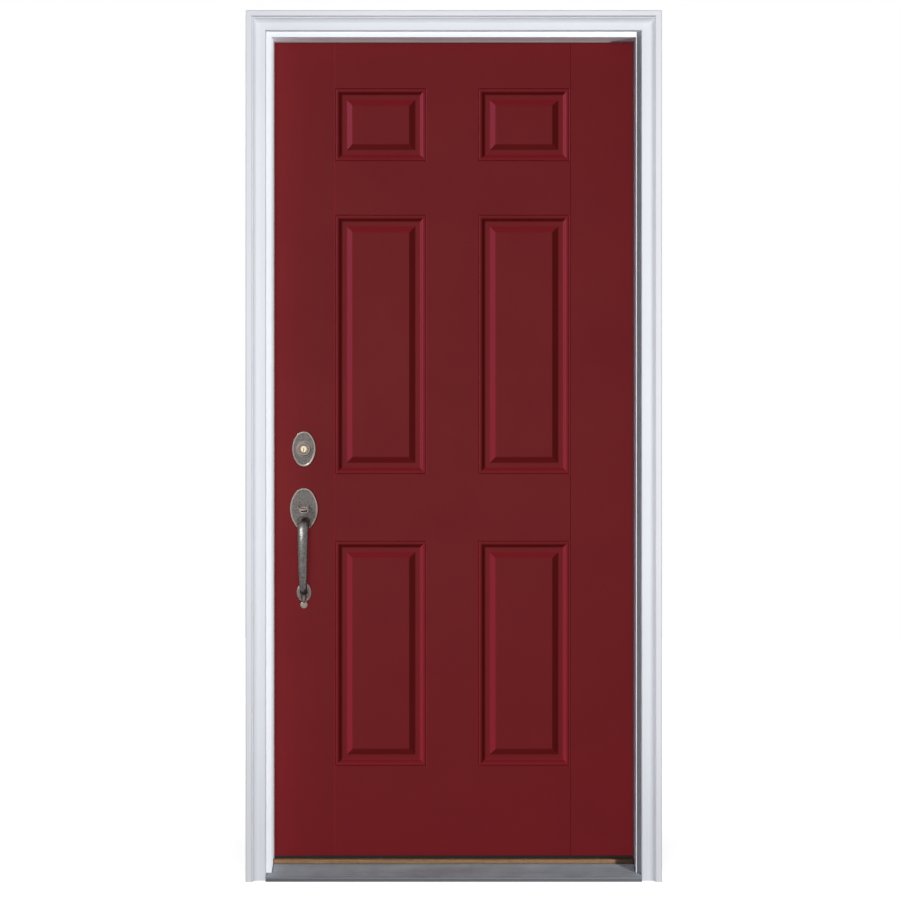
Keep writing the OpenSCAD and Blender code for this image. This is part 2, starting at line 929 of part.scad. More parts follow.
// Flat-sided bar along X: a round of radius r, cut to thickness t
module lock_bar(z, x0, x1, r, t) {
  intersection() {
    lock_rod(z, x0, x1, r);
    translate([x0 - over, slab_mid - t / 2, z - r - over])
      cube([x1 - x0 + 2 * over, t, 2 * (r + over)]);
  }
}

// Tubular case of a bolt, with a hub hole for the spindle or tailpiece
module bolt_case(z) {
  difference() {
    lock_rod(z, plate_metal - slab_x, case_end_x, case_r);
    lock_rod(z, plate_metal - slab_x - over, case_end_x - case_wall, case_bore_r);
    translate([lock_x, slab_mid - case_r - over, z])
      rotate([-90, 0, 0])
        cylinder(r = hub_r, h = 2 * (case_r + over));
  }
}

// Plate in Y and Z with rounded corners, centred on a lock axis
module edge_plate_outline(w, h, z, grow) {
  difference() {
    translate([slab_mid - w / 2 - grow, z - h / 2 - grow])
      square([w + 2 * grow, h + 2 * grow]);
    for (i = [0, 1], j = [0, 1])
      translate([slab_mid, z])
        mirror([i, 0])
          mirror([0, j])
            translate([w / 2 + grow - face_corner, h / 2 + grow - face_corner])
              corner_waste(face_corner);
  }
}

// Screws above and below a lock axis, or their holes, with heads at the origin plane and shanks along +X
module edge_screws(z, h, grow) {
  for (s = [-1, 1])
    translate([0, slab_mid, z + s * (h / 2 - face_corner)])
      wood_screw(grow);
}

module bolt_faceplate(z, t) {
  difference() {
    along_x(-slab_x, plate_metal - slab_x)
      edge_plate_outline(face_w, face_h, z, 0);
    lock_bar(z, -slab_x - over, plate_metal - slab_x + over, case_bore_r, t + 2 * slide_clear);
    translate([-slab_x, 0, 0])
      edge_screws(z, face_h, fit_clear);
  }
}

// Square-cornered socket that takes a bolt of thickness t, from x0 out of the rabbet
module strike_socket(z, x0, t) {
  half_h = slide_r + strike_clear;
  half_t = t / 2 + strike_clear;
  translate([x0, slab_mid - half_t, z - half_h])
    cube([over - rabbet_x - x0, 2 * half_t, 2 * half_h]);
}

module strike_plate(z, h, t) {
  difference() {
    along_x(-rabbet_x - plate_metal, -rabbet_x)
      edge_plate_outline(strike_w, h, z, 0);
    strike_socket(z, -rabbet_x - plate_metal - over, t);
    strike_screws_at(z, h, fit_clear);
  }
}

module strike_screws_at(z, h, grow) {
  translate([-rabbet_x, 0, 0])
    mirror([1, 0, 0])
      edge_screws(z, h, grow);
}

// Wood screw through the pad below the handle foot, head outside
module pad_screw(grow) {
  translate([lock_x, slab_front - pad_t, pad_z])
    rotate([0, 0, 90])
      wood_screw(grow);
}

// Sweep of the grip: angle 0 at its root on the plate and 180 in the foot
function grip_mix(a) = (1 - sign(cos(a)) * pow(abs(cos(a)), grip_square)) / 2;
function grip_y(a) =
  slab_front - plate_face + grip_mix(a) * (plate_face - foot_t + foot_sink)
  - grip_out * pow(sin(a), grip_square);
function grip_z(a) = grip_top_z + grip_mix(a) * (foot_z - grip_top_z);
function grip_heading(a) =
  a <= 0 ? 180
  : a >= 180 ? 0
  : atan2(grip_z(a + 1) - grip_z(a - 1), grip_y(a + 1) - grip_y(a - 1));
function grip_ring(a) =
  let (
    mix = grip_mix(a),
    half_w = (grip_top_w + mix * (grip_low_w - grip_top_w)) / 2,
    half_t = (grip_top_t + mix * (grip_low_t - grip_top_t)) / 2,
    heading = grip_heading(a)
  )
  [
    for (k = [0:grip_sides - 1])
      let (turn = 360 * k / grip_sides)
      [
        lock_x + half_w * cos(turn),
        grip_y(a) - half_t * sin(turn) * sin(heading),
        grip_z(a) + half_t * sin(turn) * cos(heading)
      ]
  ];

// Bowed bar of oval section, from the plate to the foot
module grip_bar() {
  points = [for (i = [0:grip_rings]) each grip_ring(180 * i / grip_rings)];
  walls = [
    for (i = [0:grip_rings - 1], k = [0:grip_sides - 1])
      let (next = (k + 1) % grip_sides)
      [
        i * grip_sides + k, i * grip_sides + next,
        (i + 1) * grip_sides + next, (i + 1) * grip_sides + k
      ]
  ];
  root = [for (k = [0:grip_sides - 1]) grip_sides - 1 - k];
  end = [for (k = [0:grip_sides - 1]) grip_rings * grip_sides + k];
  polyhedron(points, concat([root], walls, [end]), convexity = 4);
}

module hinge_jamb() {
  color("white")
    difference() {
      side_jamb_blank();
      for (z = hinge_z) {
        translate([0, 0, z])
          along_x(rabbet_x - over, rabbet_x + leaf_t)
            leaf_outline(over);
        jamb_screws_at(z, fit_clear);
      }
    }
}

module strike_jamb() {
  color("white")
    difference() {
      mirror([1, 0, 0])
        side_jamb_blank();
      along_x(-rabbet_x - plate_metal, over - rabbet_x) {
        edge_plate_outline(strike_w, latch_strike_h, latch_z, 0);
        edge_plate_outline(strike_w, bolt_strike_h, bolt_z, 0);
      }
      strike_socket(latch_z, -rabbet_x - latch_throw - over, latch_t);
      strike_socket(bolt_z, -jamb_x - over, bolt_t);
      strike_screws_at(latch_z, latch_strike_h, fit_clear);
      strike_screws_at(bolt_z, bolt_strike_h, fit_clear);
    }
}

module head_jamb() {
  color("white")
    along_x(-rabbet_x, rabbet_x)
      translate([stop_back, head_rabbet])
        rotate(-90)
          jamb_profile();
}

module hinge_brickmould() {
  color("white")
    side_brickmould();
}

module strike_brickmould() {
  color("white")
    mirror([1, 0, 0])
      side_brickmould();
}

module head_brickmould() {
  color("white")
    intersection() {
      along_x(-brick_out, brick_out)
        translate([0, brick_in_z])
          rotate(90)
            brick_profile();
      along_y(-brick_t - over, over)
        polygon([
          [-brick_out, brick_top], [-brick_in, brick_in_z], [brick_in, brick_in_z], [brick_out, brick_top]
        ]);
    }
}

module sill_deck() {
  color("silver")
    sill_run()
      difference() {
        sill_outline();
        substrate_outline();
        for (i = [1:ramp_grooves])
          translate([nose_y + i * ramp_pitch, nose_h + i * ramp_pitch * tan(ramp_tilt)])
            rotate(ramp_tilt)
              polygon([
                [-2 * ramp_groove_d, ramp_groove_d], [0, -ramp_groove_d], [2 * ramp_groove_d, ramp_groove_d]
              ]);
        translate([nose_y - over, (nose_h - nose_groove) / 2])
          square([over + nose_groove / 2, nose_groove]);
      }
}

module sill_substrate() {
  color("dimgray")
    sill_run()
      substrate_outline();
}

module threshold_cap() {
  color("peru")
    difference() {
      along_x(-cap_x, cap_x)
        difference() {
          translate([cap_y0, channel_z])
            square([cap_w, cap_h]);
          translate([cap_y1 - cap_ease, cap_top - cap_ease])
            corner_waste(cap_ease);
          translate([cap_y0 + cap_ease, cap_top - cap_ease])
            mirror([1, 0])
              corner_waste(cap_ease);
        }
      cap_screw_set(cap_screw_r + fit_clear, cap_h + over);
    }
}

// Round bodies of the adjusting screws on the channel floor
module cap_screw_set(r, h) {
  for (i = [0:cap_screws - 1])
    translate([(i - (cap_screws - 1) / 2) * cap_screw_span, cap_y0 + cap_lead / 2, channel_z])
      cylinder(r = r, h = h);
}

module cap_adjusting_screws() {
  slot_w = cap_screw_r / 3;
  color("silver")
    difference() {
      cap_screw_set(cap_screw_r, cap_h - cap_gap);
      translate([-cap_x, cap_y0 + cap_lead / 2 - slot_w / 2, cap_top - slot_w])
        cube([2 * cap_x, slot_w, slot_w + over]);
    }
}

module hinge_weatherstrip() {
  color("gray")
    side_weatherstrip();
}

module strike_weatherstrip() {
  color("gray")
    mirror([1, 0, 0])
      side_weatherstrip();
}

module head_weatherstrip() {
  color("gray")
    along_x(over - rabbet_x, rabbet_x - over)
      translate([stop_back, head_rabbet])
        rotate(-90)
          seal_profile();
}

module corner_pads() {
  color("dimgray")
    for (side = [0, 1])
      mirror([side, 0, 0])
        translate([stop_x, stop_back + cap_gap, channel_z])
          cube([stop_proj - cap_gap, cap_y1 - stop_back - cap_gap, cap_h - cap_gap]);
}

module latch_strike() {
  color("silver")
    strike_plate(latch_z, latch_strike_h, latch_t);
}

module deadbolt_strike() {
  color("silver")
    strike_plate(bolt_z, bolt_strike_h, bolt_t);
}

module strike_screws() {
  color("silver") {
    strike_screws_at(latch_z, latch_strike_h, 0);
    strike_screws_at(bolt_z, bolt_strike_h, 0);
  }
}

module bottom_jamb_leaf() {
  color("silver")
    jamb_leaf(0);
}

module middle_jamb_leaf() {
  color("silver")
    jamb_leaf(1);
}

module top_jamb_leaf() {
  color("silver")
    jamb_leaf(2);
}

module bottom_hinge_pin() {
  color("gray")
    hinge_pin(0);
}

module middle_hinge_pin() {
  color("gray")
    hinge_pin(1);
}

module top_hinge_pin() {
  color("gray")
    hinge_pin(2);
}

module jamb_hinge_screws() {
  color("silver")
    for (z = hinge_z)
      jamb_screws_at(z, 0);
}

module outside_skin() {
  color("darkred")
    difference() {
      pressed_skin();
      pad_screw(fit_clear);
    }
}

module inside_skin() {
  color("darkred")
    difference() {
      inside_out()
        pressed_skin();
      for (z = hinge_z)
        translate([0, 0, z])
          along_x(slab_x - leaf_t, slab_x + over)
            leaf_outline(over);
    }
}

module lock_stile() {
  color("burlywood")
    difference() {
      translate([-slab_x, core_y0, slab_bot])
        cube([stile_w, core_y1 - core_y0, slab_h]);
      for (z = [latch_z, bolt_z]) {
        lock_rod(z, -slab_x - over, over - stile_x, edge_r);
        along_x(-slab_x - over, plate_metal - slab_x)
          edge_plate_outline(face_w, face_h, z, fit_clear);
        translate([-slab_x, 0, 0])
          edge_screws(z, face_h, fit_clear);
      }
    }
}

module hinge_stile() {
  color("burlywood")
    difference() {
      translate([stile_x, core_y0, slab_bot])
        cube([stile_w, core_y1 - core_y0, slab_h]);
      for (z = hinge_z) {
        translate([0, 0, z])
          along_x(slab_x - leaf_t, slab_x + over)
            leaf_outline(over);
        slab_screws_at(z, fit_clear);
      }
    }
}

module top_rail() {
  color("burlywood")
    translate([-stile_x, core_y0, rail_top])
      cube([2 * stile_x, core_y1 - core_y0, rail_h]);
}

// Barbs of the sweep, or the kerfs that take them
module sweep_barbs(grow) {
  for (i = [0, 1])
    translate([
      over - stile_x - grow,
      slab_front + sweep_margin + (i + 0.5) * sweep_pitch - sweep_wall / 2 - grow,
      slab_bot - over
    ])
      cube([2 * (stile_x - over + grow), sweep_wall + 2 * grow, sweep_barb + over + grow]);
}

module bottom_rail() {
  color("burlywood")
    difference() {
      translate([-stile_x, core_y0, slab_bot])
        cube([2 * stile_x, core_y1 - core_y0, rail_h]);
      sweep_barbs(fit_clear);
    }
}

module lock_block() {
  color("burlywood")
    difference() {
      translate([-stile_x, core_y0, block_z0])
        cube([block_w, core_y1 - core_y0, block_z1 - block_z0]);
      cross_bores();
      for (z = [latch_z, bolt_z])
        lock_rod(z, -stile_x - over, lock_x, edge_r);
      pad_screw(fit_clear);
    }
}

module foam_core() {
  color("khaki")
    difference() {
      translate([-stile_x, core_y0, rail_bot])
        cube([2 * stile_x, core_y1 - core_y0, rail_top - rail_bot]);
      translate([-stile_x - over, core_y0 - over, block_z0])
        cube([block_w + over, core_y1 - core_y0 + 2 * over, block_z1 - block_z0]);
      for (x = column_x, r = [0:2]) {
        translate([x, slab_front, row_z0[r] + row_h[r] / 2])
          pan_back(row_h[r], over);
        inside_out()
          translate([x, slab_front, row_z0[r] + row_h[r] / 2])
            pan_back(row_h[r], over);
      }
    }
}

module door_sweep() {
  color("black") {
    along_x(sweep_margin - slab_x, slab_x - sweep_margin) {
      translate([slab_front + sweep_margin, slab_bot - sweep_wall])
        square([sweep_depth, sweep_wall]);
      for (i = [0:sweep_fins - 1])
        translate([slab_front + sweep_margin + i * sweep_pitch, slab_bot - sweep_h])
          square([sweep_wall, sweep_h]);
    }
    sweep_barbs(0);
  }
}

module bottom_slab_leaf() {
  color("silver")
    slab_leaf(0);
}

module middle_slab_leaf() {
  color("silver")
    slab_leaf(1);
}

module top_slab_leaf() {
  color("silver")
    slab_leaf(2);
}

module slab_hinge_screws() {
  color("silver")
    for (z = hinge_z)
      slab_screws_at(z, 0);
}

module deadbolt_rose() {
  color("gray")
    outward(bolt_z)
      difference() {
        oval_plate(rose_w, rose_h, rose_t, rim_dish);
        translate([0, 0, -over])
          cylinder(r = barrel_body_r + fit_clear, h = rose_t + 2 * over);
      }
}

module deadbolt_cylinder() {
  color("gray")
    difference() {
      union() {
        outward(bolt_z) {
          translate([0, 0, rose_t - rim_dish])
            cylinder(r1 = collar_r, r2 = collar_r - collar_taper, h = collar_out - rose_t + rim_dish);
          translate([0, 0, -mount_depth])
            cylinder(r = barrel_body_r, h = mount_depth + collar_out - over);
        }
        mount_posts(bolt_z);
      }
      outward(bolt_z)
        translate([0, 0, -mount_depth - over])
          cylinder(r = plug_r + pin_clear, h = mount_depth + collar_out + 2 * over);
      mount_screws(bolt_z, fit_clear);
    }
}

module key_plug() {
  color("gold")
    outward(bolt_z)
      difference() {
        translate([0, 0, collar_out - plug_len])
          cylinder(r = plug_r, h = plug_len);
        translate([-keyway_w / 2, -keyway_h * keyway_low, collar_out - plug_len * keyway_deep])
          cube([keyway_w, keyway_h, plug_len]);
      }
}

module deadbolt_case() {
  color("silver")
    bolt_case(bolt_z);
}

module deadbolt_bolt() {
  color("silver")
    lock_bar(bolt_z, -slab_x, bolt_len - slab_x, slide_r, bolt_t);
}

module deadbolt_faceplate() {
  color("silver")
    bolt_faceplate(bolt_z, bolt_t);
}

module deadbolt_inside_plate() {
  color("gray")
    difference() {
      inward(bolt_z)
        difference() {
          oval_plate(rose_w, rose_h, rose_t, rim_dish);
          translate([0, 0, -over])
            cylinder(r = turn_shaft_r + pin_clear, h = rose_t + 2 * over);
        }
      mount_screws(bolt_z, fit_clear);
    }
}

module thumb_turn() {
  wing_z = rose_t - rim_dish + cap_gap;
  color("gray")
    inward(bolt_z) {
      translate([0, 0, -turn_sink])
        cylinder(r = turn_shaft_r, h = turn_sink + turn_out / 2);
      intersection() {
        translate([0, 0, wing_z])
          linear_extrude(turn_out - wing_z) {
            square([turn_t, turn_len - turn_t], center = true);
            for (end = [-1, 1])
              translate([0, end * (turn_len - turn_t) / 2])
                circle(turn_t / 2);
          }
        translate([-turn_len, 0, turn_out - turn_dome])
          rotate([0, 90, 0])
            cylinder(r = turn_dome, h = 2 * turn_len);
      }
    }
}

module deadbolt_tailpiece() {
  color("silver")
    translate([lock_x - tail_w / 2, plug_back + tail_gap, bolt_z - tail_t / 2])
      cube([tail_w, slab_back - turn_sink - plug_back - tail_gap, tail_t]);
}

module deadbolt_mounting_screws() {
  color("silver")
    mount_screws(bolt_z, 0);
}

module handle_plate() {
  color("gray")
    difference() {
      union() {
        outward(plate_z)
          oval_plate(plate_w, plate_h, plate_t, rim_dish);
        mount_posts(latch_z);
        for (side = [0, 1])
          translate([lock_x, slab_front, latch_z + stem_z])
            mirror([side, 0, 0])
              translate([ear_x, -over, -ear_half])
                cube([ear_t, thumb_pivot + ear_round + over, 2 * ear_half]);
      }
      translate([lock_x - ear_x, slab_front - plate_t - over, latch_z + stem_z - stem_t / 2 - thumb_drop])
        cube([2 * ear_x, plate_t + over, stem_t + thumb_drop + over]);
      translate([lock_x, slab_front + thumb_pivot, latch_z + stem_z])
        rotate([0, 90, 0])
          cylinder(r = thumb_pin_r + pin_clear, h = plate_w, center = true);
      mount_screws(latch_z, fit_clear);
    }
}

module thumb_piece() {
  root_y = -plate_t - thumb_gap;
  tip_y = root_y - thumb_reach;
  color("gray")
    translate([lock_x, slab_front, latch_z]) {
      intersection() {
        along_y(tip_y, root_y)
          difference() {
            translate([0, thumb_r - thumb_sag])
              circle(thumb_r + thumb_t / 2);
            translate([0, thumb_r - thumb_sag])
              circle(thumb_r - thumb_t / 2);
            translate([-thumb_r - thumb_t, over])
              square(2 * (thumb_r + thumb_t));
          }
        along_z(-thumb_sag - thumb_t, thumb_t)
          intersection() {
            translate([-thumb_w / 2, tip_y])
              square([thumb_w, thumb_reach]);
            translate([0, tip_y + thumb_w / 2 + thumb_blunt])
              union() {
                circle(thumb_w / 2 + thumb_blunt);
                translate([-thumb_w, 0])
                  square([2 * thumb_w, thumb_reach]);
              }
          }
      }
      translate([-thumb_stem_w / 2, root_y - stem_lap, stem_z - stem_t / 2])
        cube([thumb_stem_w, thumb_pivot - root_y + stem_lap, stem_t]);
      translate([0, thumb_pivot, stem_z])
        rotate([0, 90, 0]) {
          cylinder(r = stem_t / 2 + over, h = thumb_stem_w, center = true);
          cylinder(r = thumb_pin_r, h = 2 * (ear_x + ear_t), center = true);
        }
    }
}

module grip_handle() {
  color("gray")
    difference() {
      union() {
        grip_bar();
        outward(foot_z)
          oval_plate(foot_w, foot_h, foot_t, 0);
        outward(pad_z)
          cylinder(r = pad_r, h = pad_t);
      }
      pad_screw(fit_clear);
    }
}

module foot_screw() {
  color("silver")
    pad_screw(0);
}

module latch_case() {
  color("silver")
    bolt_case(latch_z);
}

module latch_bolt() {
  tip_x = -slab_x - latch_throw;
  color("silver")
    difference() {
      lock_bar(latch_z, tip_x, latch_len - slab_x, slide_r, latch_t);
      along_z(latch_z - case_r, latch_z + case_r)
        polygon([
          [tip_x - over, slab_mid - latch_t], [tip_x - over, slab_mid + latch_t / 4],
          [tip_x, slab_mid + latch_t / 4], [-slab_x - over, slab_mid - latch_t / 2],
          [-slab_x - over, slab_mid - latch_t]
        ]);
    }
}

module latch_faceplate() {
  color("silver")
    bolt_faceplate(latch_z, latch_t);
}

module faceplate_screws() {
  color("silver")
    for (z = [latch_z, bolt_z])
      translate([-slab_x, 0, 0])
        edge_screws(z, face_h, 0);
}

module inside_rose() {
  color("gray")
    difference() {
      inward(latch_z)
        difference() {
          oval_plate(rose_w, rose_h, rose_t, rim_dish);
          translate([0, 0, -over])
            cylinder(r = neck_r + pin_clear, h = rose_t + 2 * over);
        }
      mount_screws(latch_z, fit_clear);
    }
}

module inside_knob() {
  ball_z = knob_out - knob_round;
  color("gray")
    inward(latch_z)
      rotate_extrude() {
        square([neck_r, ball_z]);
        translate([0, ball_z - knob_round])
          square([knob_r - knob_round, 2 * knob_round]);
        intersection() {
          translate([knob_r - knob_round, ball_z])
            circle(knob_round);
          square([knob_r, knob_out]);
        }
      }
}

module knob_spindle() {
  color("silver")
    translate([lock_x - spindle_w / 2, slab_mid - hub_r, latch_z - spindle_w / 2])
      cube([spindle_w, slab_back - slab_mid + hub_r, spindle_w]);
}

module handle_mounting_screws() {
  color("silver")
    mount_screws(latch_z, 0);
}

hinge_jamb();
strike_jamb();
head_jamb();
hinge_brickmould();
strike_brickmould();
head_brickmould();
sill_deck();
sill_substrate();
threshold_cap();
cap_adjusting_screws();
hinge_weatherstrip();
strike_weatherstrip();
head_weatherstrip();
corner_pads();
latch_strike();
deadbolt_strike();
strike_screws();
top_jamb_leaf();
middle_jamb_leaf();
bottom_jamb_leaf();
top_hinge_pin();
middle_hinge_pin();
bottom_hinge_pin();
jamb_hinge_screws();
outside_skin();
inside_skin();
lock_stile();
hinge_stile();
top_rail();
bottom_rail();
lock_block();
foam_core();
door_sweep();
top_slab_leaf();
middle_slab_leaf();
bottom_slab_leaf();
slab_hinge_screws();
deadbolt_rose();
deadbolt_cylinder();
key_plug();
deadbolt_case();
deadbolt_bolt();
deadbolt_faceplate();
deadbolt_inside_plate();
thumb_turn();
deadbolt_tailpiece();
deadbolt_mounting_screws();
handle_plate();
thumb_piece();
grip_handle();
foot_screw();
latch_case();
latch_bolt();
latch_faceplate();
faceplate_screws();
inside_rose();
inside_knob();
knob_spindle();
handle_mounting_screws();
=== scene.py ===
"""Looks of a prehung six-panel entry door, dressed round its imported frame.

Sizes in the fields are millimetres, apart from the studio's, which are metres. Meshes are in metres, in the
frame's own axes: +X to the right seen from outside, +Y into the house, +Z up.
"""

import json
import logging
import math
from collections.abc import Iterable, Mapping, Sequence
from dataclasses import dataclass, field, replace
from enum import Enum

import bmesh
import bpy
from bmesh.types import BMEdge, BMesh, BMVert
from bpy.types import Collection, Material, Node, NodeSocket, NodeTree, Object
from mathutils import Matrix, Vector

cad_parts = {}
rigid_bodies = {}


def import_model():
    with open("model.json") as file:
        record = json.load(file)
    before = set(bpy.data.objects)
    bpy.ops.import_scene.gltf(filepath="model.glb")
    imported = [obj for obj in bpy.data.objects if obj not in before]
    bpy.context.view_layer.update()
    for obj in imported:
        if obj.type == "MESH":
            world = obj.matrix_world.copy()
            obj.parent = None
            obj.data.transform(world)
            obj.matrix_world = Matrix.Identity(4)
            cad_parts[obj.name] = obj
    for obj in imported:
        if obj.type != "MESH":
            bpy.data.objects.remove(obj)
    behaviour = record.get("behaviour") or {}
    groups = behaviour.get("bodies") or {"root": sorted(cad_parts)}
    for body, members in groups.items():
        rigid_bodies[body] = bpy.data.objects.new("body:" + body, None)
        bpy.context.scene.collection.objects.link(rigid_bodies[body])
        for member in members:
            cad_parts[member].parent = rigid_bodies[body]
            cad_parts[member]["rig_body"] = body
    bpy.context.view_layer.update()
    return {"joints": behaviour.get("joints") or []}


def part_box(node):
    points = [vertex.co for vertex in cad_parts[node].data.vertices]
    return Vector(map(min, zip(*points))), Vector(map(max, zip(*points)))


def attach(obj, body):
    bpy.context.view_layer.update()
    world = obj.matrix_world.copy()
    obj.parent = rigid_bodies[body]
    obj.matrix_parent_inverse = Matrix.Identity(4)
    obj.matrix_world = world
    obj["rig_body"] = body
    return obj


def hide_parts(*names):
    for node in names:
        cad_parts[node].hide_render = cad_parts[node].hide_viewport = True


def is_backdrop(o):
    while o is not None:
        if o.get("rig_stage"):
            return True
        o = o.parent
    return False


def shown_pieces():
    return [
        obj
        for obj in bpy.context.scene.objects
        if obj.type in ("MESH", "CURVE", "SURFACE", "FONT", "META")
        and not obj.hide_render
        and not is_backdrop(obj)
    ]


# What goes into a shader node, by the name or number of its input
Inputs = Mapping[str | int, object]

LOG = logging.getLogger("entry_door")
MM = 0.001
# Metres within which two points are one, and degrees within which two faces are one
WELD = 1e-6
FLAT_DEG = 0.3
# Reflection of paint, timber and plastic that are dull in their fine texture
DULL_SPECULAR = 0.3


class Run(Enum):
    """Direction in which a board, a bar or an extrusion runs, with the number of its axis."""

    ALONG_X = 0
    ALONG_Z = 2

    def stretch(self, along: float, across: float) -> tuple[float, float, float]:
        """Scale a pattern that is long in this direction.

        Args:
            along: length of a mark in millimetres.
            across: width of a mark in millimetres.

        Returns:
            Texture scale for each axis, in marks per metre.
        """
        return tuple(scale(along if axis == self.value else across) for axis in range(3))


class Face(Enum):
    """Side of the slab, with the sign of Y that leads into it."""

    OUTSIDE = 1
    INSIDE = -1


def scale(mark_mm: float) -> float:
    """Return a pattern's scale, in marks per metre, from the size of one mark."""
    return 1 / (MM * mark_mm)


def linear(code: str) -> tuple[float, float, float, float]:
    """Turn an sRGB hex colour to linear light.

    Args:
        code: colour such as "#6a2024".

    Returns:
        Red, green, blue and an alpha of one.
    """
    parts = [int(code[i:i + 2], 16) / 255 for i in (1, 3, 5)]
    return (*[p / 12.92 if p <= 0.04045 else ((p + 0.055) / 1.055) ** 2.4 for p in parts], 1.0)


def plug(tree: NodeTree, node: Node, inputs: Inputs) -> None:
    """Set or link inputs of a node.

    Args:
        tree: tree that holds the node.
        node: node to set up.
        inputs: for each input, by name or number, a value, an sRGB hex colour, an output socket, or a node
            whose first output in use is meant.
    """
    for key, value in inputs.items():
        if isinstance(value, Node):
            value = next(socket for socket in value.outputs if socket.enabled)
        if isinstance(value, NodeSocket):
            tree.links.new(value, node.inputs[key])
        else:
            node.inputs[key].default_value = linear(value) if isinstance(value, str) else value


def add_node(tree: NodeTree, kind: str, inputs: Inputs | None = None, **settings: str | int) -> Node:
    """Add a node, set it up and link it.

    Args:
        tree: tree that takes the node.
        kind: kind of shader node.
        inputs: its inputs, as plug takes them.
        settings: the node's own properties.

    Returns:
        The new node.
    """
    node = tree.nodes.new(f"ShaderNode{kind}")
    for key, value in settings.items():
        setattr(node, key, value)
    plug(tree, node, inputs or {})
    return node


@dataclass(frozen=True)
class Finish:
    """A surface finish that makes its own material."""

    name: str
    slot: str

    def make(self) -> Material:
        """Make the material at its first use.

        Returns:
            The material.
        """
        material = bpy.data.materials.get(self.name)
        if material is None:
            material = bpy.data.materials.new(self.name)
            material.use_nodes = True
            tree = material.node_tree
            place = add_node(tree, "TexCoord").outputs["Object"]
            plug(tree, tree.nodes["Principled BSDF"], self.surface(tree, place))
        return material

    def coat(self, obj: Object) -> None:
        """Make this finish the only one of a piece."""
        obj.data.materials.clear()
        obj.data.materials.append(self.make())

    def shade_and_patina_in_corners(self, tree: NodeTree, reach_mm: float, clean: Node, dirt_and_shade: str) -> Node:
        """Darken corners and seams, found by ambient occlusion: painted shade on lined metal and timber,
        patina on aged plating.

        Args:
            tree: the material's nodes.
            reach_mm: how far the darkening reaches out of a corner.
            clean: colour of the clean surface.
            dirt_and_shade: colour painted in the corners.

        Returns:
            The colour, darkened in the corners.
        """
        corner = add_node(tree, "AmbientOcclusion", {"Distance": reach_mm * MM}, samples=6).outputs["AO"]
        open_face = add_node(tree, "MapRange", {"Value": corner, "From Min": 0.45, "From Max": 0.95})
        return add_node(tree, "Mix", {0: open_face, 6: dirt_and_shade, 7: clean}, data_type="RGBA")

    def surface(self, tree: NodeTree, place: NodeSocket) -> Inputs:
        """Draw the colour, the gloss and the relief.

        Args:
            tree: the material's nodes.
            place: position on the object, in metres.

        Returns:
            Inputs for the material's shader.
        """
        raise NotImplementedError


@dataclass(frozen=True)
class RolledPaint(Finish):
    """Satin acrylic rolled on compression-moulded fiberglass.

    The eye gets an even deep red with a soft sheen, a faint roller stipple and slow changes of tone.
    """

    colour: str
    shade: str
    gloss: tuple[float, float] = (0.41, 0.51)
    specular: float = 0.08
    mottle_mm: float = 150.0
    # Roller stipple is about 0.8 mm; it is drawn coarser so that it shows
    stipple_mm: float = 1.8
    stipple_depth: float = 0.035

    def surface(self, tree: NodeTree, place: NodeSocket) -> Inputs:
        """Draw the paint's mottle and stipple.

        Args:
            tree: the material's nodes.
            place: position on the object, in metres.

        Returns:
            Inputs for the material's shader.
        """
        patch = {"Vector": place, "Scale": scale(self.mottle_mm), "Detail": 3.0, "Roughness": 0.55}
        mottle = add_node(tree, "TexNoise", patch)
        tone = add_node(tree, "MapRange", {"Value": mottle, "From Min": 0.3, "From Max": 0.7})
        pebble = {"Vector": place, "Scale": scale(self.stipple_mm), "Detail": 2.0}
        stipple = add_node(tree, "TexNoise", pebble)
        relief = {"Strength": 0.5, "Distance": self.stipple_depth * MM, "Height": stipple}
        sleek, rough = self.gloss
        return {
            "Base Color": add_node(tree, "Mix", {0: tone, 6: self.colour, 7: self.shade}, data_type="RGBA"),
            "Roughness": add_node(tree, "MapRange", {"Value": mottle, "To Min": sleek, "To Max": rough}),
            "Normal": add_node(tree, "Bump", relief),
            "Specular IOR Level": self.specular,
        }


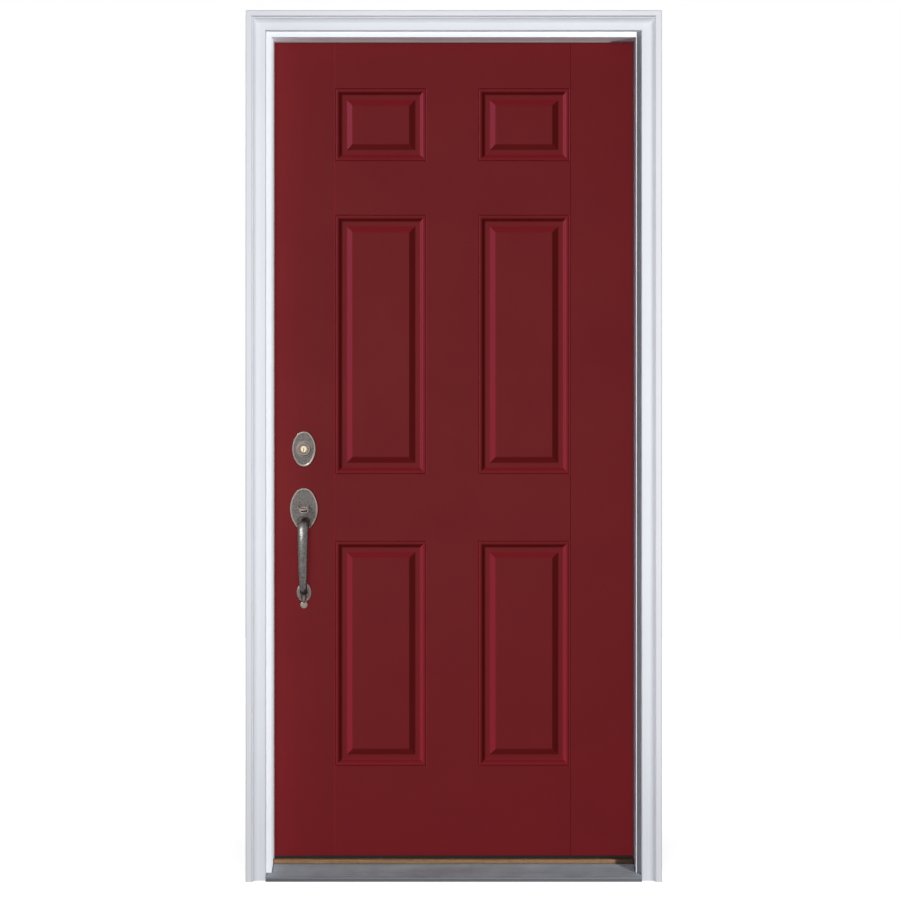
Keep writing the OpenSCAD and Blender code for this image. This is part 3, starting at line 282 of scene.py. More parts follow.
@dataclass(frozen=True)
class FactoryPaint(Finish):
    """White factory paint, sprayed on primed and finger-jointed pine.

    The eye gets a cool white with fine raised grain along the board, and painted shade towards the sill,
    broken up by the grain.
    """

    run: Run
    colour: str = "#eceff5"
    shade: str = "#e2e5ec"
    # Colour of the painted shade towards the foot
    dirt_and_shade: str = "#b9bac2"
    gloss: tuple[float, float] = (0.36, 0.5)
    tone_mm: float = 240.0
    grain_mm: tuple[float, float] = (260.0, 1.6)
    grain_depth: float = 0.04
    # Height under which the paint grows darker towards the foot as painted shade, and how dark it gets at the
    # foot
    darker_foot_mm: float = 700.0
    darker_foot: float = 0.45

    def surface(self, tree: NodeTree, place: NodeSocket) -> Inputs:
        """Draw the paint's grain and the painted shade near the sill.

        Args:
            tree: the material's nodes.
            place: position on the object, in metres.

        Returns:
            Inputs for the material's shader.
        """
        tone = add_node(tree, "TexNoise", {"Vector": place, "Scale": scale(self.tone_mm), "Detail": 3.0})
        clean = add_node(tree, "Mix", {0: tone, 6: self.colour, 7: self.shade}, data_type="RGBA")
        along = add_node(tree, "Mapping", {"Vector": place, "Scale": self.run.stretch(*self.grain_mm)})
        grain = add_node(tree, "TexNoise", {"Vector": along, "Scale": 1.0, "Detail": 3.0})
        height = add_node(tree, "SeparateXYZ", {"Vector": place}).outputs["Z"]
        # Painted shade: the paint grows darker towards the foot, broken up by the grain
        reach = {"Value": height, "From Min": self.darker_foot_mm * MM, "From Max": 0.0, "To Max": self.darker_foot}
        low = add_node(tree, "MapRange", reach, interpolation_type="SMOOTHSTEP")
        foot_shade = add_node(tree, "Math", {0: low, 1: grain}, operation="MULTIPLY")
        relief = {"Strength": 0.15, "Distance": self.grain_depth * MM, "Height": grain}
        sleek, rough = self.gloss
        return {
            "Base Color": add_node(tree, "Mix", {0: foot_shade, 6: clean, 7: self.dirt_and_shade}, data_type="RGBA"),
            "Roughness": add_node(tree, "MapRange", {"Value": grain, "To Min": sleek, "To Max": rough}),
            "Normal": add_node(tree, "Bump", relief),
            "Specular IOR Level": DULL_SPECULAR,
        }


@dataclass(frozen=True)
class LinedMetal(Finish):
    """Metal with fine lines along one direction, from an extrusion die or a brushing belt.

    The eye gets streaks of changing gloss along the lines, and slow hazy patches across them.
    """

    run: Run
    colour: str
    haze: str
    gloss: tuple[float, float]
    lines_mm: tuple[float, float]
    haze_mm: float
    line_depth: float = 0.03
    anisotropy: float = 0.4
    # Under one where a chalky oxide hides part of the metal
    metallic: float = 1.0
    # Colour of the darker band at the foot
    dirt_and_shade: str = "#5a5d62"
    # Painted shade in the seams and grooves: its colour and how far it reaches
    seam_shade: str = "#5a5d62"
    seam_shade_mm: float = 4.0
    # Height under which the metal is drawn in the darker foot colour
    darker_foot_mm: float = 0.0

    def surface(self, tree: NodeTree, place: NodeSocket) -> Inputs:
        """Draw the metal's lines and haze, a darker band at its foot, and painted shade in its seams.

        Args:
            tree: the material's nodes.
            place: position on the object, in metres.

        Returns:
            Inputs for the material's shader.
        """
        along = add_node(tree, "Mapping", {"Vector": place, "Scale": self.run.stretch(*self.lines_mm)})
        lines = add_node(tree, "TexNoise", {"Vector": along, "Scale": 1.0, "Detail": 4.0})
        haze = add_node(tree, "TexNoise", {"Vector": place, "Scale": scale(self.haze_mm), "Detail": 4.0})
        both = add_node(tree, "Math", {0: lines, 1: haze}, operation="MULTIPLY")
        tone = add_node(tree, "MapRange", {"Value": both, "From Min": 0.14, "From Max": 0.4})
        clean = add_node(tree, "Mix", {0: tone, 6: self.haze, 7: self.colour}, data_type="RGBA")
        height = add_node(tree, "SeparateXYZ", {"Vector": place}).outputs["Z"]
        # A darker band at the foot
        top = self.darker_foot_mm * MM
        low = add_node(tree, "MapRange", {"Value": height, "From Min": top, "From Max": top - MM})
        darker_at_foot = add_node(tree, "Mix", {0: low, 6: clean, 7: self.dirt_and_shade}, data_type="RGBA")
        sleek, rough = self.gloss
        streaks = {"Value": lines, "From Min": 0.3, "From Max": 0.7, "To Min": rough, "To Max": sleek}
        relief = {"Strength": 0.4, "Distance": self.line_depth * MM, "Height": lines}
        return {
            # Painted shade in the seams and grooves
            "Base Color": self.shade_and_patina_in_corners(tree, self.seam_shade_mm, darker_at_foot, self.seam_shade),
            "Roughness": add_node(tree, "MapRange", streaks),
            "Normal": add_node(tree, "Bump", relief),
            "Metallic": self.metallic,
            "Anisotropic": self.anisotropy,
        }


@dataclass(frozen=True)
class AgedPlating(Finish):
    """Pewter-grey plating on cast zinc, darkened and then rubbed back.

    The eye gets a soft grey metal, darker in the corners and mottled, with edges lighter and warmer: rubbed,
    and a painted highlight.
    """

    colour: str = "#706d6a"
    patina: str = "#4e4b49"
    rub_highlight: str = "#bda79f"
    dirt_and_shade: str = "#2c2a29"
    gloss: tuple[float, float] = (0.34, 0.5)
    mottle_mm: float = 5.0
    speck_mm: float = 1.1
    speck_depth: float = 0.04
    corner_mm: float = 5.0
    # Rubbing reaches about 1 mm over an edge; the lighter edge is drawn wider so that it shows, as a painted
    # highlight on the rounded edges as well as wear
    rub_highlight_mm: float = 5.0
    rub_highlight_share: float = 0.85

    def surface(self, tree: NodeTree, place: NodeSocket) -> Inputs:
        """Draw the plating's mottle, its dark corners, and its edges lighter as wear and as a painted
        highlight.

        Args:
            tree: the material's nodes.
            place: position on the object, in metres.

        Returns:
            Inputs for the material's shader.
        """
        patch = {"Vector": place, "Scale": scale(self.mottle_mm), "Detail": 5.0, "Roughness": 0.6}
        mottle = add_node(tree, "TexNoise", patch)
        speck = add_node(tree, "TexNoise", {"Vector": place, "Scale": scale(self.speck_mm), "Detail": 2.0})
        tone = add_node(tree, "MapRange", {"Value": mottle, "From Min": 0.34, "From Max": 0.6})
        body = add_node(tree, "Mix", {0: tone, 6: self.patina, 7: self.colour}, data_type="RGBA")
        soiled = self.shade_and_patina_in_corners(tree, self.corner_mm, body, self.dirt_and_shade)
        # Painted highlight with wear: edges lighter and warmer, found by ambient occlusion from inside
        reach = {"Distance": self.rub_highlight_mm * MM}
        rim = add_node(tree, "AmbientOcclusion", reach, samples=6, inside=True).outputs["AO"]
        rub_highlight_span = {"Value": rim, "From Min": 0.95, "From Max": 0.62, "To Max": self.rub_highlight_share}
        edge = add_node(tree, "MapRange", rub_highlight_span)
        relief = {"Strength": 0.25, "Distance": self.speck_depth * MM, "Height": speck}
        sleek, rough = self.gloss
        return {
            "Base Color": add_node(tree, "Mix", {0: edge, 6: soiled, 7: self.rub_highlight}, data_type="RGBA"),
            "Roughness": add_node(tree, "MapRange", {"Value": tone, "To Min": rough, "To Max": sleek}),
            "Normal": add_node(tree, "Bump", relief),
            "Metallic": 1.0,
        }


@dataclass(frozen=True)
class TurnedBrass(Finish):
    """Brass faced on a lathe.

    The eye gets a pale gold disc with fine rings round its axis.
    """

    # X and Z of the axis that the rings run round
    axis: tuple[float, float]
    colour: str = "#f6e9c4"
    dull: str = "#d9bf8a"
    roughness: float = 0.3
    wear_mm: float = 2.5
    # Tool marks are about 0.1 mm apart; they are drawn coarser so that they show
    ring_mm: float = 0.35
    ring_depth: float = 0.02

    def surface(self, tree: NodeTree, place: NodeSocket) -> Inputs:
        """Draw the brass with its rings.

        Args:
            tree: the material's nodes.
            place: position on the object, in metres.

        Returns:
            Inputs for the material's shader.
        """
        middle = (-self.axis[0] * MM, 0.0, -self.axis[1] * MM)
        flat = add_node(tree, "Mapping", {"Vector": place, "Location": middle, "Scale": (1.0, 0.0, 1.0)})
        reach = add_node(tree, "VectorMath", {0: flat}, operation="LENGTH").outputs["Value"]
        phase = add_node(tree, "Math", {0: reach, 1: 2 * math.pi * scale(self.ring_mm)}, operation="MULTIPLY")
        ring = add_node(tree, "Math", {0: phase}, operation="SINE")
        wear = add_node(tree, "TexNoise", {"Vector": place, "Scale": scale(self.wear_mm), "Detail": 3.0})
        relief = {"Strength": 0.2, "Distance": self.ring_depth * MM, "Height": ring}
        return {
            "Base Color": add_node(tree, "Mix", {0: wear, 6: self.colour, 7: self.dull}, data_type="RGBA"),
            "Roughness": self.roughness,
            "Normal": add_node(tree, "Bump", relief),
            "Metallic": 1.0,
        }


@dataclass(frozen=True)
class SawnWood(Finish):
    """Timber with its grain along one direction, planed and left bare or oiled.

    The eye gets long fibres of two tones, and on open-pored timber short dark pores between them.
    """

    run: Run
    light: str
    dark: str
    pore: str
    roughness: float
    fibre_mm: tuple[float, float]
    pore_mm: tuple[float, float]
    pore_share: float
    pore_edge: float = 0.08
    fibre_depth: float = 0.08
    # How far painted shade, in the pore colour, reaches out of the seams
    seam_shade_mm: float = 5.0

    def surface(self, tree: NodeTree, place: NodeSocket) -> Inputs:
        """Draw the timber's fibres and pores, and painted shade in its seams.

        Args:
            tree: the material's nodes.
            place: position on the object, in metres.

        Returns:
            Inputs for the material's shader.
        """
        along = add_node(tree, "Mapping", {"Vector": place, "Scale": self.run.stretch(*self.fibre_mm)})
        fibre = add_node(tree, "TexNoise", {"Vector": along, "Scale": 1.0, "Detail": 5.0, "Distortion": 0.6})
        tone = add_node(tree, "MapRange", {"Value": fibre, "From Min": 0.32, "From Max": 0.68})
        wood = add_node(tree, "Mix", {0: tone, 6: self.dark, 7: self.light}, data_type="RGBA")
        short = add_node(tree, "Mapping", {"Vector": place, "Scale": self.run.stretch(*self.pore_mm)})
        pore = add_node(tree, "TexNoise", {"Vector": short, "Scale": 1.0, "Detail": 1.0})
        shut = 1 - self.pore_share
        gap = add_node(tree, "MapRange", {"Value": pore, "From Min": shut, "From Max": shut + self.pore_edge})
        grain = add_node(tree, "Mix", {0: gap, 6: wood, 7: self.pore}, data_type="RGBA")
        relief = {"Strength": 0.4, "Distance": self.fibre_depth * MM, "Height": fibre}
        return {
            # Painted shade in the seams, in the pore colour
            "Base Color": self.shade_and_patina_in_corners(tree, self.seam_shade_mm, grain, self.pore),
            "Roughness": self.roughness,
            "Normal": add_node(tree, "Bump", relief),
            "Specular IOR Level": DULL_SPECULAR,
        }


@dataclass(frozen=True)
class GrainedPlastic(Finish):
    """Vinyl, foam or filled composite as it leaves its die or mould.

    The eye gets a dull body colour with a fine pebble of the stated grain size.
    """

    colour: str
    shade: str
    roughness: float
    grain_mm: float
    grain_depth: float
    patch_mm: float = 40.0

    def surface(self, tree: NodeTree, place: NodeSocket) -> Inputs:
        """Draw the plastic's patches and pebble.

        Args:
            tree: the material's nodes.
            place: position on the object, in metres.

        Returns:
            Inputs for the material's shader.
        """
        pebble = {"Vector": place, "Scale": scale(self.grain_mm)}
        grain = add_node(tree, "TexVoronoi", pebble).outputs["Distance"]
        patch = add_node(tree, "TexNoise", {"Vector": place, "Scale": scale(self.patch_mm), "Detail": 4.0})
        relief = {"Strength": 0.4, "Distance": self.grain_depth * MM, "Height": grain}
        return {
            "Base Color": add_node(tree, "Mix", {0: patch, 6: self.colour, 7: self.shade}, data_type="RGBA"),
            "Roughness": self.roughness,
            "Normal": add_node(tree, "Bump", relief),
            "Specular IOR Level": DULL_SPECULAR,
        }


DOOR_RED = RolledPaint("satin_acrylic_rolled", "door_paint", colour="#6b1417", shade="#681417")
LEG_WHITE = FactoryPaint("white_factory_paint_upright", "frame_paint", Run.ALONG_Z)
HEAD_WHITE = replace(LEG_WHITE, name="white_factory_paint_level", run=Run.ALONG_X)
# The sill's seams and grooves carry near-black painted shade, and its nose is drawn in the darker foot colour
MILL_ALUMINIUM = LinedMetal(
    "aluminium_extruded", "mill_aluminium", Run.ALONG_X, colour="#a7b1b8", haze="#8c969d", gloss=(0.44, 0.6),
    lines_mm=(700.0, 0.9), haze_mm=60.0, metallic=0.4, seam_shade="#17191c", seam_shade_mm=6.0, darker_foot_mm=10.5,
)
SATIN_STEEL = LinedMetal(
    "steel_satin_plated", "steel", Run.ALONG_Z, colour="#b9b6b0", haze="#96938e", gloss=(0.26, 0.42),
    lines_mm=(30.0, 0.35), haze_mm=12.0,
)
PEWTER = AgedPlating("zinc_cast_pewter_plated", "aged_pewter")
# A thin piece is all edge, so the rubbed and highlighted edges are drawn fainter on it
THIN_PEWTER = replace(PEWTER, name="zinc_cast_pewter_plated_thin", rub_highlight_share=0.4)
OAK = SawnWood(
    "oak_planed_oiled", "oak", Run.ALONG_X, light="#8c6d4e", dark="#694f38", pore="#3a2a1e", roughness=0.5,
    fibre_mm=(140.0, 2.2), pore_mm=(16.0, 0.5), pore_share=0.4,
)
UPRIGHT_PINE = SawnWood(
    "pine_planed_upright", "pine", Run.ALONG_Z, light="#d9be92", dark="#c39f6c", pore="#a97f4f",
    roughness=0.6, fibre_mm=(420.0, 4.5), pore_mm=(60.0, 0.8), pore_share=0.3,
)
LEVEL_PINE = replace(UPRIGHT_PINE, name="pine_planed_level", run=Run.ALONG_X)
SEAL_VINYL = GrainedPlastic(
    "foam_seal_vinyl_jacket", "weatherseal", colour="#84847f", shade="#74746f", roughness=0.6,
    grain_mm=1.2, grain_depth=0.05,
)
BLACK_VINYL = GrainedPlastic(
    "vinyl_extruded_black", "black_vinyl", colour="#1b1b1c", shade="#232324", roughness=0.5,
    grain_mm=0.9, grain_depth=0.04,
)
COMPOSITE = GrainedPlastic(
    "composite_filled_moulded", "composite", colour="#4f4c49", shade="#433f3d", roughness=0.75,
    grain_mm=1.5, grain_depth=0.15,
)
CORE_FOAM = GrainedPlastic(
    "polyurethane_foam_cut", "foam", colour="#dccd9c", shade="#cdbd8a", roughness=0.85,
    grain_mm=1.4, grain_depth=0.3,
)


def seen_white(tree: NodeTree) -> Node:
    """Tell the rays that see the white studio from those that only bring its light.

    Args:
        tree: nodes of the floor or the surround.

    Returns:
        One for camera, glossy and transmission rays, and zero for all others.
    """
    rays = add_node(tree, "LightPath").outputs
    seen = {0: rays["Is Camera Ray"], 1: rays["Is Glossy Ray"]}
    mirrored = add_node(tree, "Math", seen, operation="MAXIMUM")
    return add_node(tree, "Math", {0: mirrored, 1: rays["Is Transmission Ray"]}, operation="MAXIMUM")


def even_shading(obj: Object) -> None:
    """Let the large faces of a piece lead its shading, up to its sharp edges."""
    normals = obj.modifiers.new("even_shading", "WEIGHTED_NORMAL")
    normals.keep_sharp = True


def polish(obj: Object, sharp_deg: float) -> None:
    """Shade a piece smooth between sharp edges.

    Args:
        obj: piece to shade.
        sharp_deg: faces that meet at a larger angle keep a sharp edge.
    """
    obj.data.shade_smooth()
    obj.data.set_sharp_from_angle(angle=math.radians(sharp_deg))
    even_shading(obj)


def new_object(name: str, bm: BMesh) -> Object:
    """Put a built mesh in the scene.

    Args:
        name: name of the piece.
        bm: its mesh, which is freed.

    Returns:
        The new object.
    """
    mesh = bpy.data.meshes.new(name)
    bm.to_mesh(mesh)
    bm.free()
    obj = bpy.data.objects.new(name, mesh)
    bpy.context.scene.collection.objects.link(obj)
    return obj


def settle(obj: Object) -> None:
    """Make a piece's modifiers part of its mesh.

    Args:
        obj: the piece.
    """
    graph = bpy.context.evaluated_depsgraph_get()
    mesh = bpy.data.meshes.new_from_object(obj.evaluated_get(graph))
    obj.modifiers.clear()
    obj.data = mesh


def fit_piece(obj: Object, finish: Finish, node: str) -> None:
    """Dress a piece and let it stand for a node of the frame.

    Args:
        obj: the piece.
        finish: its finish.
        node: the node that it stands for, whose body it rides on.
    """
    finish.coat(obj)
    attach(obj, bpy.data.objects[node]["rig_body"])
    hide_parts(node)
    LOG.info("%s stands for %s: %d faces", obj.name, node, len(obj.data.polygons))


def dress_node(node: str, finish: Finish) -> None:
    """Give a node of the frame its finish as it stands.

    Args:
        node: name of the node.
        finish: its finish.
    """
    obj = bpy.data.objects[node]
    finish.coat(obj)
    LOG.info("%s keeps its solid", node)


def node_mesh(node: str) -> BMesh:
    """Copy a node's mesh with its flat faces whole.

    Args:
        node: name of the node.

    Returns:
        A welded copy, free of edges that lie in a plane.
    """
    bm = bmesh.new()
    bm.from_mesh(bpy.data.objects[node].data)
    bmesh.ops.remove_doubles(bm, verts=bm.verts, dist=WELD)
    bmesh.ops.dissolve_limit(bm, angle_limit=math.radians(FLAT_DEG), verts=bm.verts, edges=bm.edges)
    return bm


def islands(bm: BMesh) -> list[list[BMVert]]:
    """Find the separate solids in a mesh.

    Args:
        bm: the mesh.

    Returns:
        The vertices of each solid.
    """
    seen: set[BMVert] = set()
    found = []
    for start in bm.verts:
        if start in seen:
            continue
        seen.add(start)
        island, queue = [], [start]
        while queue:
            vert = queue.pop()
            island.append(vert)
            others = [edge.other_vert(vert) for edge in vert.link_edges]
            queue += [other for other in others if other not in seen]
            seen.update(others)
        found.append(island)
    return found


def round_edges(bm: BMesh, edges: Sequence[BMEdge], reach_mm: float, segments: int) -> None:
    """Round edges of a mesh.

    Args:
        bm: the mesh.
        edges: the edges to round.
        reach_mm: how far the rounding reaches into each face.
        segments: spans across the rounding.
    """
    bmesh.ops.bevel(
        bm, geom=edges, offset=reach_mm * MM, segments=segments, profile=0.5, affect="EDGES",
        clamp_overlap=True,
    )


def split_edge(edge: BMEdge, base: BMVert, end: BMVert, share: float) -> tuple[BMEdge, BMVert]:
    """Split an edge at a share of its length.

    Args:
        edge: edge to split.
        base: the end from which the share counts.
        end: its other end.
        share: where it is split.

    Returns:
        The part of the edge beyond the split and the new vertex.
    """
    _, vert = bmesh.utils.edge_split(edge, base, share)
    return next(e for e in vert.link_edges if end in e.verts), vert


def bridge(bm: BMesh, loops: Sequence[Sequence[BMVert]]) -> None:
    """Skin a row of closed loops.

    Args:
        bm: mesh that holds the loops.
        loops: the loops, each with as many vertices as the others.
    """
    for loop, after in zip(loops, loops[1:]):
        for k in range(len(loop)):
            n = (k + 1) % len(loop)
            bm.faces.new([loop[k], loop[n], after[n], after[k]])


def circle(sides: int) -> list[tuple[float, float]]:
    """Divide a circle evenly.

    Args:
        sides: number of points.

    Returns:
        The cosine and the sine at each point.
    """
    turns = [2 * math.pi * k / sides for k in range(sides)]
    return [(math.cos(a), math.sin(a)) for a in turns]


def rounded(
    points: Sequence[tuple[float, float, float]], steps: int = 4, most: float = 0.45,
) -> list[tuple[float, float]]:
    """Round the corners of an open outline.

    Args:
        points: two coordinates and a corner reach for each point.
        steps: spans in each rounded corner.
        most: largest share of a side that a corner takes.

    Returns:
        The outline's points, with a smooth curve at each corner that has a reach.
    """
    outline = []
    for i, (u, v, reach) in enumerate(points):
        here = Vector((u, v))
        if reach <= 0 or i in (0, len(points) - 1):
            outline.append((u, v))
            continue
        back = Vector(points[i - 1][:2]) - here
        ahead = Vector(points[i + 1][:2]) - here
        start = here + back.normalized() * min(reach, back.length * most)
        stop = here + ahead.normalized() * min(reach, ahead.length * most)
        for k in range(steps + 1):
            t = k / steps
            outline.append(tuple((1 - t) ** 2 * start + 2 * t * (1 - t) * here + t * t * stop))
    return outline


@dataclass
class EasedPart:
    """A rigid piece with the form of its node and worn or sanded arrises."""

    node: str
    finish: Finish
    ease: float
    shortest: float = 0.0
    segments: int = 3
    sharp_deg: float = 32.0

    def build(self) -> None:
        """Round the arrises and fit the piece."""
        bm = node_mesh(self.node)
        arrises = [
            edge for edge in bm.edges
            if edge.is_manifold
            and edge.calc_face_angle() > math.radians(self.sharp_deg)
            and edge.calc_length() >= self.shortest * MM
        ]
        round_edges(bm, arrises, self.ease, self.segments)
        obj = new_object(f"eased_{self.node}", bm)
        polish(obj, self.sharp_deg)
        fit_piece(obj, self.finish, self.node)


@dataclass
class PressedSkin:
    """Fiberglass skin of one face of the slab, pressed with six raised panels."""

    side: Face
    finish: Finish
    lock_face: float = 161.0
    hinge_face: float = 167.0
    mullion: float = 127.0
    bottom_face: float = 219.5
    bottom_panel: float = 551.5
    lock_rail: float = 163.5
    frieze_rail: float = 131.5
    top_panel: float = 178.5
    top_face: float = 123.5
    # Width and depth of the quirk and of the joint lines
    quirk: tuple[float, float] = (2.4, 1.6)
    joint: tuple[float, float] = (1.8, 0.9)
    joint_off: float = 2.8
    quirk_ease: float = 0.5
    bead: float = 3.6
    ogee: float = 12.0
    ogee_steps: int = 6
    pan_depth: float = 8.0
    pan_flat: float = 10.0
    pan_ease: float = 1.6
    bevel: float = 14.0
    field_depth: float = 1.0
    field_ease: float = 1.8
    lip: float = 0.6
    thickness: float = 2.0
    # Share of the thickness that is drawn, so that the core behind stays clear of it
    wall: float = 0.6
    edge_ease: float = 0.8
    edge_segments: int = 3
    backset: float = 84.5
    bores_up: tuple[float, float] = (856.3, 996.0)
    bore_r: float = 27.0
    bore_points: int = 24
    # Depth and height of a hinge leaf's notch, and where its middle is
    leaf: tuple[float, float] = (2.5, 101.6)
    leaves_up: tuple[float, ...] = (329.8, 1052.0, 1774.2)
    bm: BMesh = field(default_factory=bmesh.new)

    def __post_init__(self) -> None:
        """Take the slab's place from the frame."""
        low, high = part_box(self.node)
        self.left, self.right = low.x / MM, high.x / MM
        self.low, self.high = low.z / MM, high.z / MM
        self.face = (low.y if self.side is Face.OUTSIDE else high.y) / MM

    @property
    def node(self) -> str:
        """Name of the node that the skin stands for."""
        return "outside_skin" if self.side is Face.OUTSIDE else "inside_skin"

    def spot(self, x: float, z: float, depth: float) -> BMVert:
        """Add a point of the skin, depth below its face."""
        return self.bm.verts.new(Vector((x, self.face + self.side.value * depth, z)) * MM)

    def patch(self, points: Iterable[tuple[float, float, float]]) -> None:
        """Add one flat face through points given as x, z and depth."""
        self.bm.faces.new([self.spot(*p) for p in points])

    def flat(self, x0: float, x1: float, z0: float, z1: float) -> None:
        """Add a rectangle in the face of the skin."""
        self.patch([(x0, z0, 0), (x1, z0, 0), (x1, z1, 0), (x0, z1, 0)])

    def columns(self) -> list[tuple[float, float]]:
        """Place both columns of panels.

        Returns:
            The left and right edge of each column.
        """
        width = (self.right - self.left - self.lock_face - self.hinge_face - self.mullion) / 2
        first = self.left + self.lock_face
        return [(first, first + width), (first + width + self.mullion, self.right - self.hinge_face)]

    def rows(self) -> list[tuple[float, float]]:
        """Place the three rows of panels.

        Returns:
            The lower and upper edge of each row.
        """
        low = self.low + self.bottom_face
        middle = low + self.bottom_panel + self.lock_rail
        top = self.high - self.top_face - self.top_panel
        return [(low, low + self.bottom_panel), (middle, top - self.frieze_rail), (top, top + self.top_panel)]

    def panel_section(self) -> list[tuple[float, float]]:
        """Draw the moulding's section.

        Returns:
            Distance from the panel's edge and depth below the face, from the lip to the field.
        """
        start = self.quirk[0] + self.bead
        stop = start + self.ogee
        radius = (self.ogee ** 2 + self.pan_depth ** 2) / (4 * self.pan_depth)

        def fall(reach: float) -> float:
            """Return how far an arc of the ogee falls over a reach."""
            return radius - math.sqrt(radius ** 2 - reach ** 2)

        reaches = [self.ogee / 2 * k / self.ogee_steps for k in range(self.ogee_steps + 1)]
        curve = [(start + reach, fall(reach), 0.0) for reach in reaches]
        curve += [(stop - reach, self.pan_depth - fall(reach), 0.0) for reach in reaches[-2::-1]]
        width, depth = self.quirk
        foot = stop + self.pan_flat
        return rounded([
            (-self.lip, 0.0, 0.0), (0.0, 0.0, self.quirk_ease), (width / 2, depth, self.quirk_ease),
            (width, 0.0, self.quirk_ease), *curve,
            (foot, self.pan_depth, self.pan_ease), (foot + self.bevel, self.field_depth, self.field_ease),
            (foot + 2 * self.bevel, self.field_depth, 0.0),
        ])

    def panel(self, x: tuple[float, float], z: tuple[float, float]) -> None:
        """Press one panel, as rings that follow the moulding's section.

        Args:
            x: its left and right edge.
            z: its lower and upper edge.
        """
        rings = []
        for inset, depth in self.panel_section():
            x0, x1, z0, z1 = x[0] + inset, x[1] - inset, z[0] + inset, z[1] - inset
            rings.append([self.spot(*p, depth) for p in ((x0, z0), (x1, z0), (x1, z1), (x0, z1))])
        bridge(self.bm, rings)
        for outer, inner in zip(rings, rings[1:]):
            for mitre in zip(outer, inner):
                self.bm.edges.get(mitre).smooth = False
        self.bm.faces.new(rings[-1])

    def lock_stile(self, edge: float) -> None:
        """Lay the face of the lock stile round the two lock bores.

        Args:
            edge: where the stile's face ends at its joint line.
        """
        centre = self.left + self.backset
        levels = [self.low, *[self.low + up for up in self.bores_up], self.high]
        for k, (z0, z1) in enumerate(zip(levels, levels[1:])):
            loop = [(self.left, z0, 0)]
            if k > 0:
                loop += self.half_bore(centre, z0, 180, 0)
            loop += [(edge, z0, 0), (edge, z1, 0)]
            if k < len(levels) - 2:
                loop += self.half_bore(centre, z1, 0, -180)
            loop.append((self.left, z1, 0))
            self.patch(loop)

    def half_bore(self, x: float, z: float, start: float, stop: float) -> list[tuple[float, float, float]]:
        """Draw half of a bore's edge.

        Args:
            x: place of the bore across the slab.
            z: its height.
            start: angle in degrees at which the half starts.
            stop: angle at which it ends.

        Returns:
            Points as x, z and depth.
        """
        step = (stop - start) / self.bore_points
        turns = [math.radians(start + step * k) for k in range(self.bore_points + 1)]
        return [(x + self.bore_r * math.cos(a), z + self.bore_r * math.sin(a), 0) for a in turns]

    def hinge_stile(self, edge: float) -> None:
        """Lay the face of the hinge stile, notched for the leaves on the inside.

        Args:
            edge: where the stile's face starts at its joint line.
        """
        loop = [(edge, self.high, 0), (edge, self.low, 0), (self.right, self.low, 0)]
        if self.side is Face.INSIDE:
            depth, height = self.leaf
            notch = self.right - depth
            for up in self.leaves_up:
                z0, z1 = self.low + up - height / 2, self.low + up + height / 2
                loop += [(self.right, z0, 0), (notch, z0, 0), (notch, z1, 0), (self.right, z1, 0)]
        loop.append((self.right, self.high, 0))
        self.patch(loop)

    def joint_line(self, x: float) -> None:
        """Press the fine line along one stile.

        Args:
            x: place of the line across the slab.
        """
        half, depth = self.joint[0] / 2, self.joint[1]
        for x0, d0, x1, d1 in ((x - half, 0, x, depth), (x, depth, x + half, 0)):
            self.patch([(x0, self.low, d0), (x1, self.low, d1), (x1, self.high, d1), (x0, self.high, d0)])

    def mullion_face(self, x0: float, x1: float) -> None:
        """Lay the mullion between two columns, with a fine line at each rail.

        Args:
            x0: its left edge.
            x1: its right edge.
        """
        half, depth = self.joint[0] / 2, self.joint[1]
        a, b = x0 + self.joint_off - self.lip, x1 - self.joint_off + self.lip
        self.flat(x0, a, self.low, self.high)
        self.flat(b, x1, self.low, self.high)
        level = self.low
        for z in [edge for row in self.rows() for edge in row]:
            self.flat(a, b, level, z - half)
            self.patch([(a, z - half, 0), (b, z - half, 0), (b, z, depth), (a, z, depth)])
            self.patch([(a, z, depth), (b, z, depth), (b, z + half, 0), (a, z + half, 0)])
            for x in (a, b):
                self.patch([(x, z - half, 0), (x, z, depth), (x, z + half, 0)])
            level = z + half
        self.flat(a, b, level, self.high)

    def stitch(self) -> None:
        """Join the faces, also where a corner of one lies on an edge of another."""
        bmesh.ops.remove_doubles(self.bm, verts=self.bm.verts, dist=WELD)
        rim = [edge for edge in self.bm.edges if edge.is_boundary]
        corners = {vert for edge in rim for vert in edge.verts}
        for edge in rim:
            a, b = edge.verts
            span = b.co - a.co
            length = span.length
            along = []
            for vert in corners:
                if vert in (a, b):
                    continue
                t = (vert.co - a.co).dot(span) / length ** 2
                if WELD < t * length < length - WELD and (a.co + span * t - vert.co).length < WELD:
                    along.append(t)
            rest, base, done = edge, a, 0.0
            for t in sorted(along):
                rest, base = split_edge(rest, base, b, (t - done) / (1 - done))
                done = t
        bmesh.ops.remove_doubles(self.bm, verts=self.bm.verts, dist=WELD)
        bmesh.ops.recalc_face_normals(self.bm, faces=self.bm.faces)

    def turn_edges(self) -> None:
        """Turn the open rim into the slab by the skin's thickness and ease its corner."""
        rim = [edge for edge in self.bm.edges if edge.is_boundary]
        made = bmesh.ops.extrude_edge_only(self.bm, edges=rim)["geom"]
        verts = [item for item in made if isinstance(item, BMVert)]
        bmesh.ops.translate(self.bm, verts=verts, vec=Vector((0, self.side.value * self.thickness * MM, 0)))
        corner = [edge for edge in rim if edge.is_valid and edge.is_manifold]
        round_edges(self.bm, corner, self.edge_ease, self.edge_segments)
        bmesh.ops.recalc_face_normals(self.bm, faces=self.bm.faces)

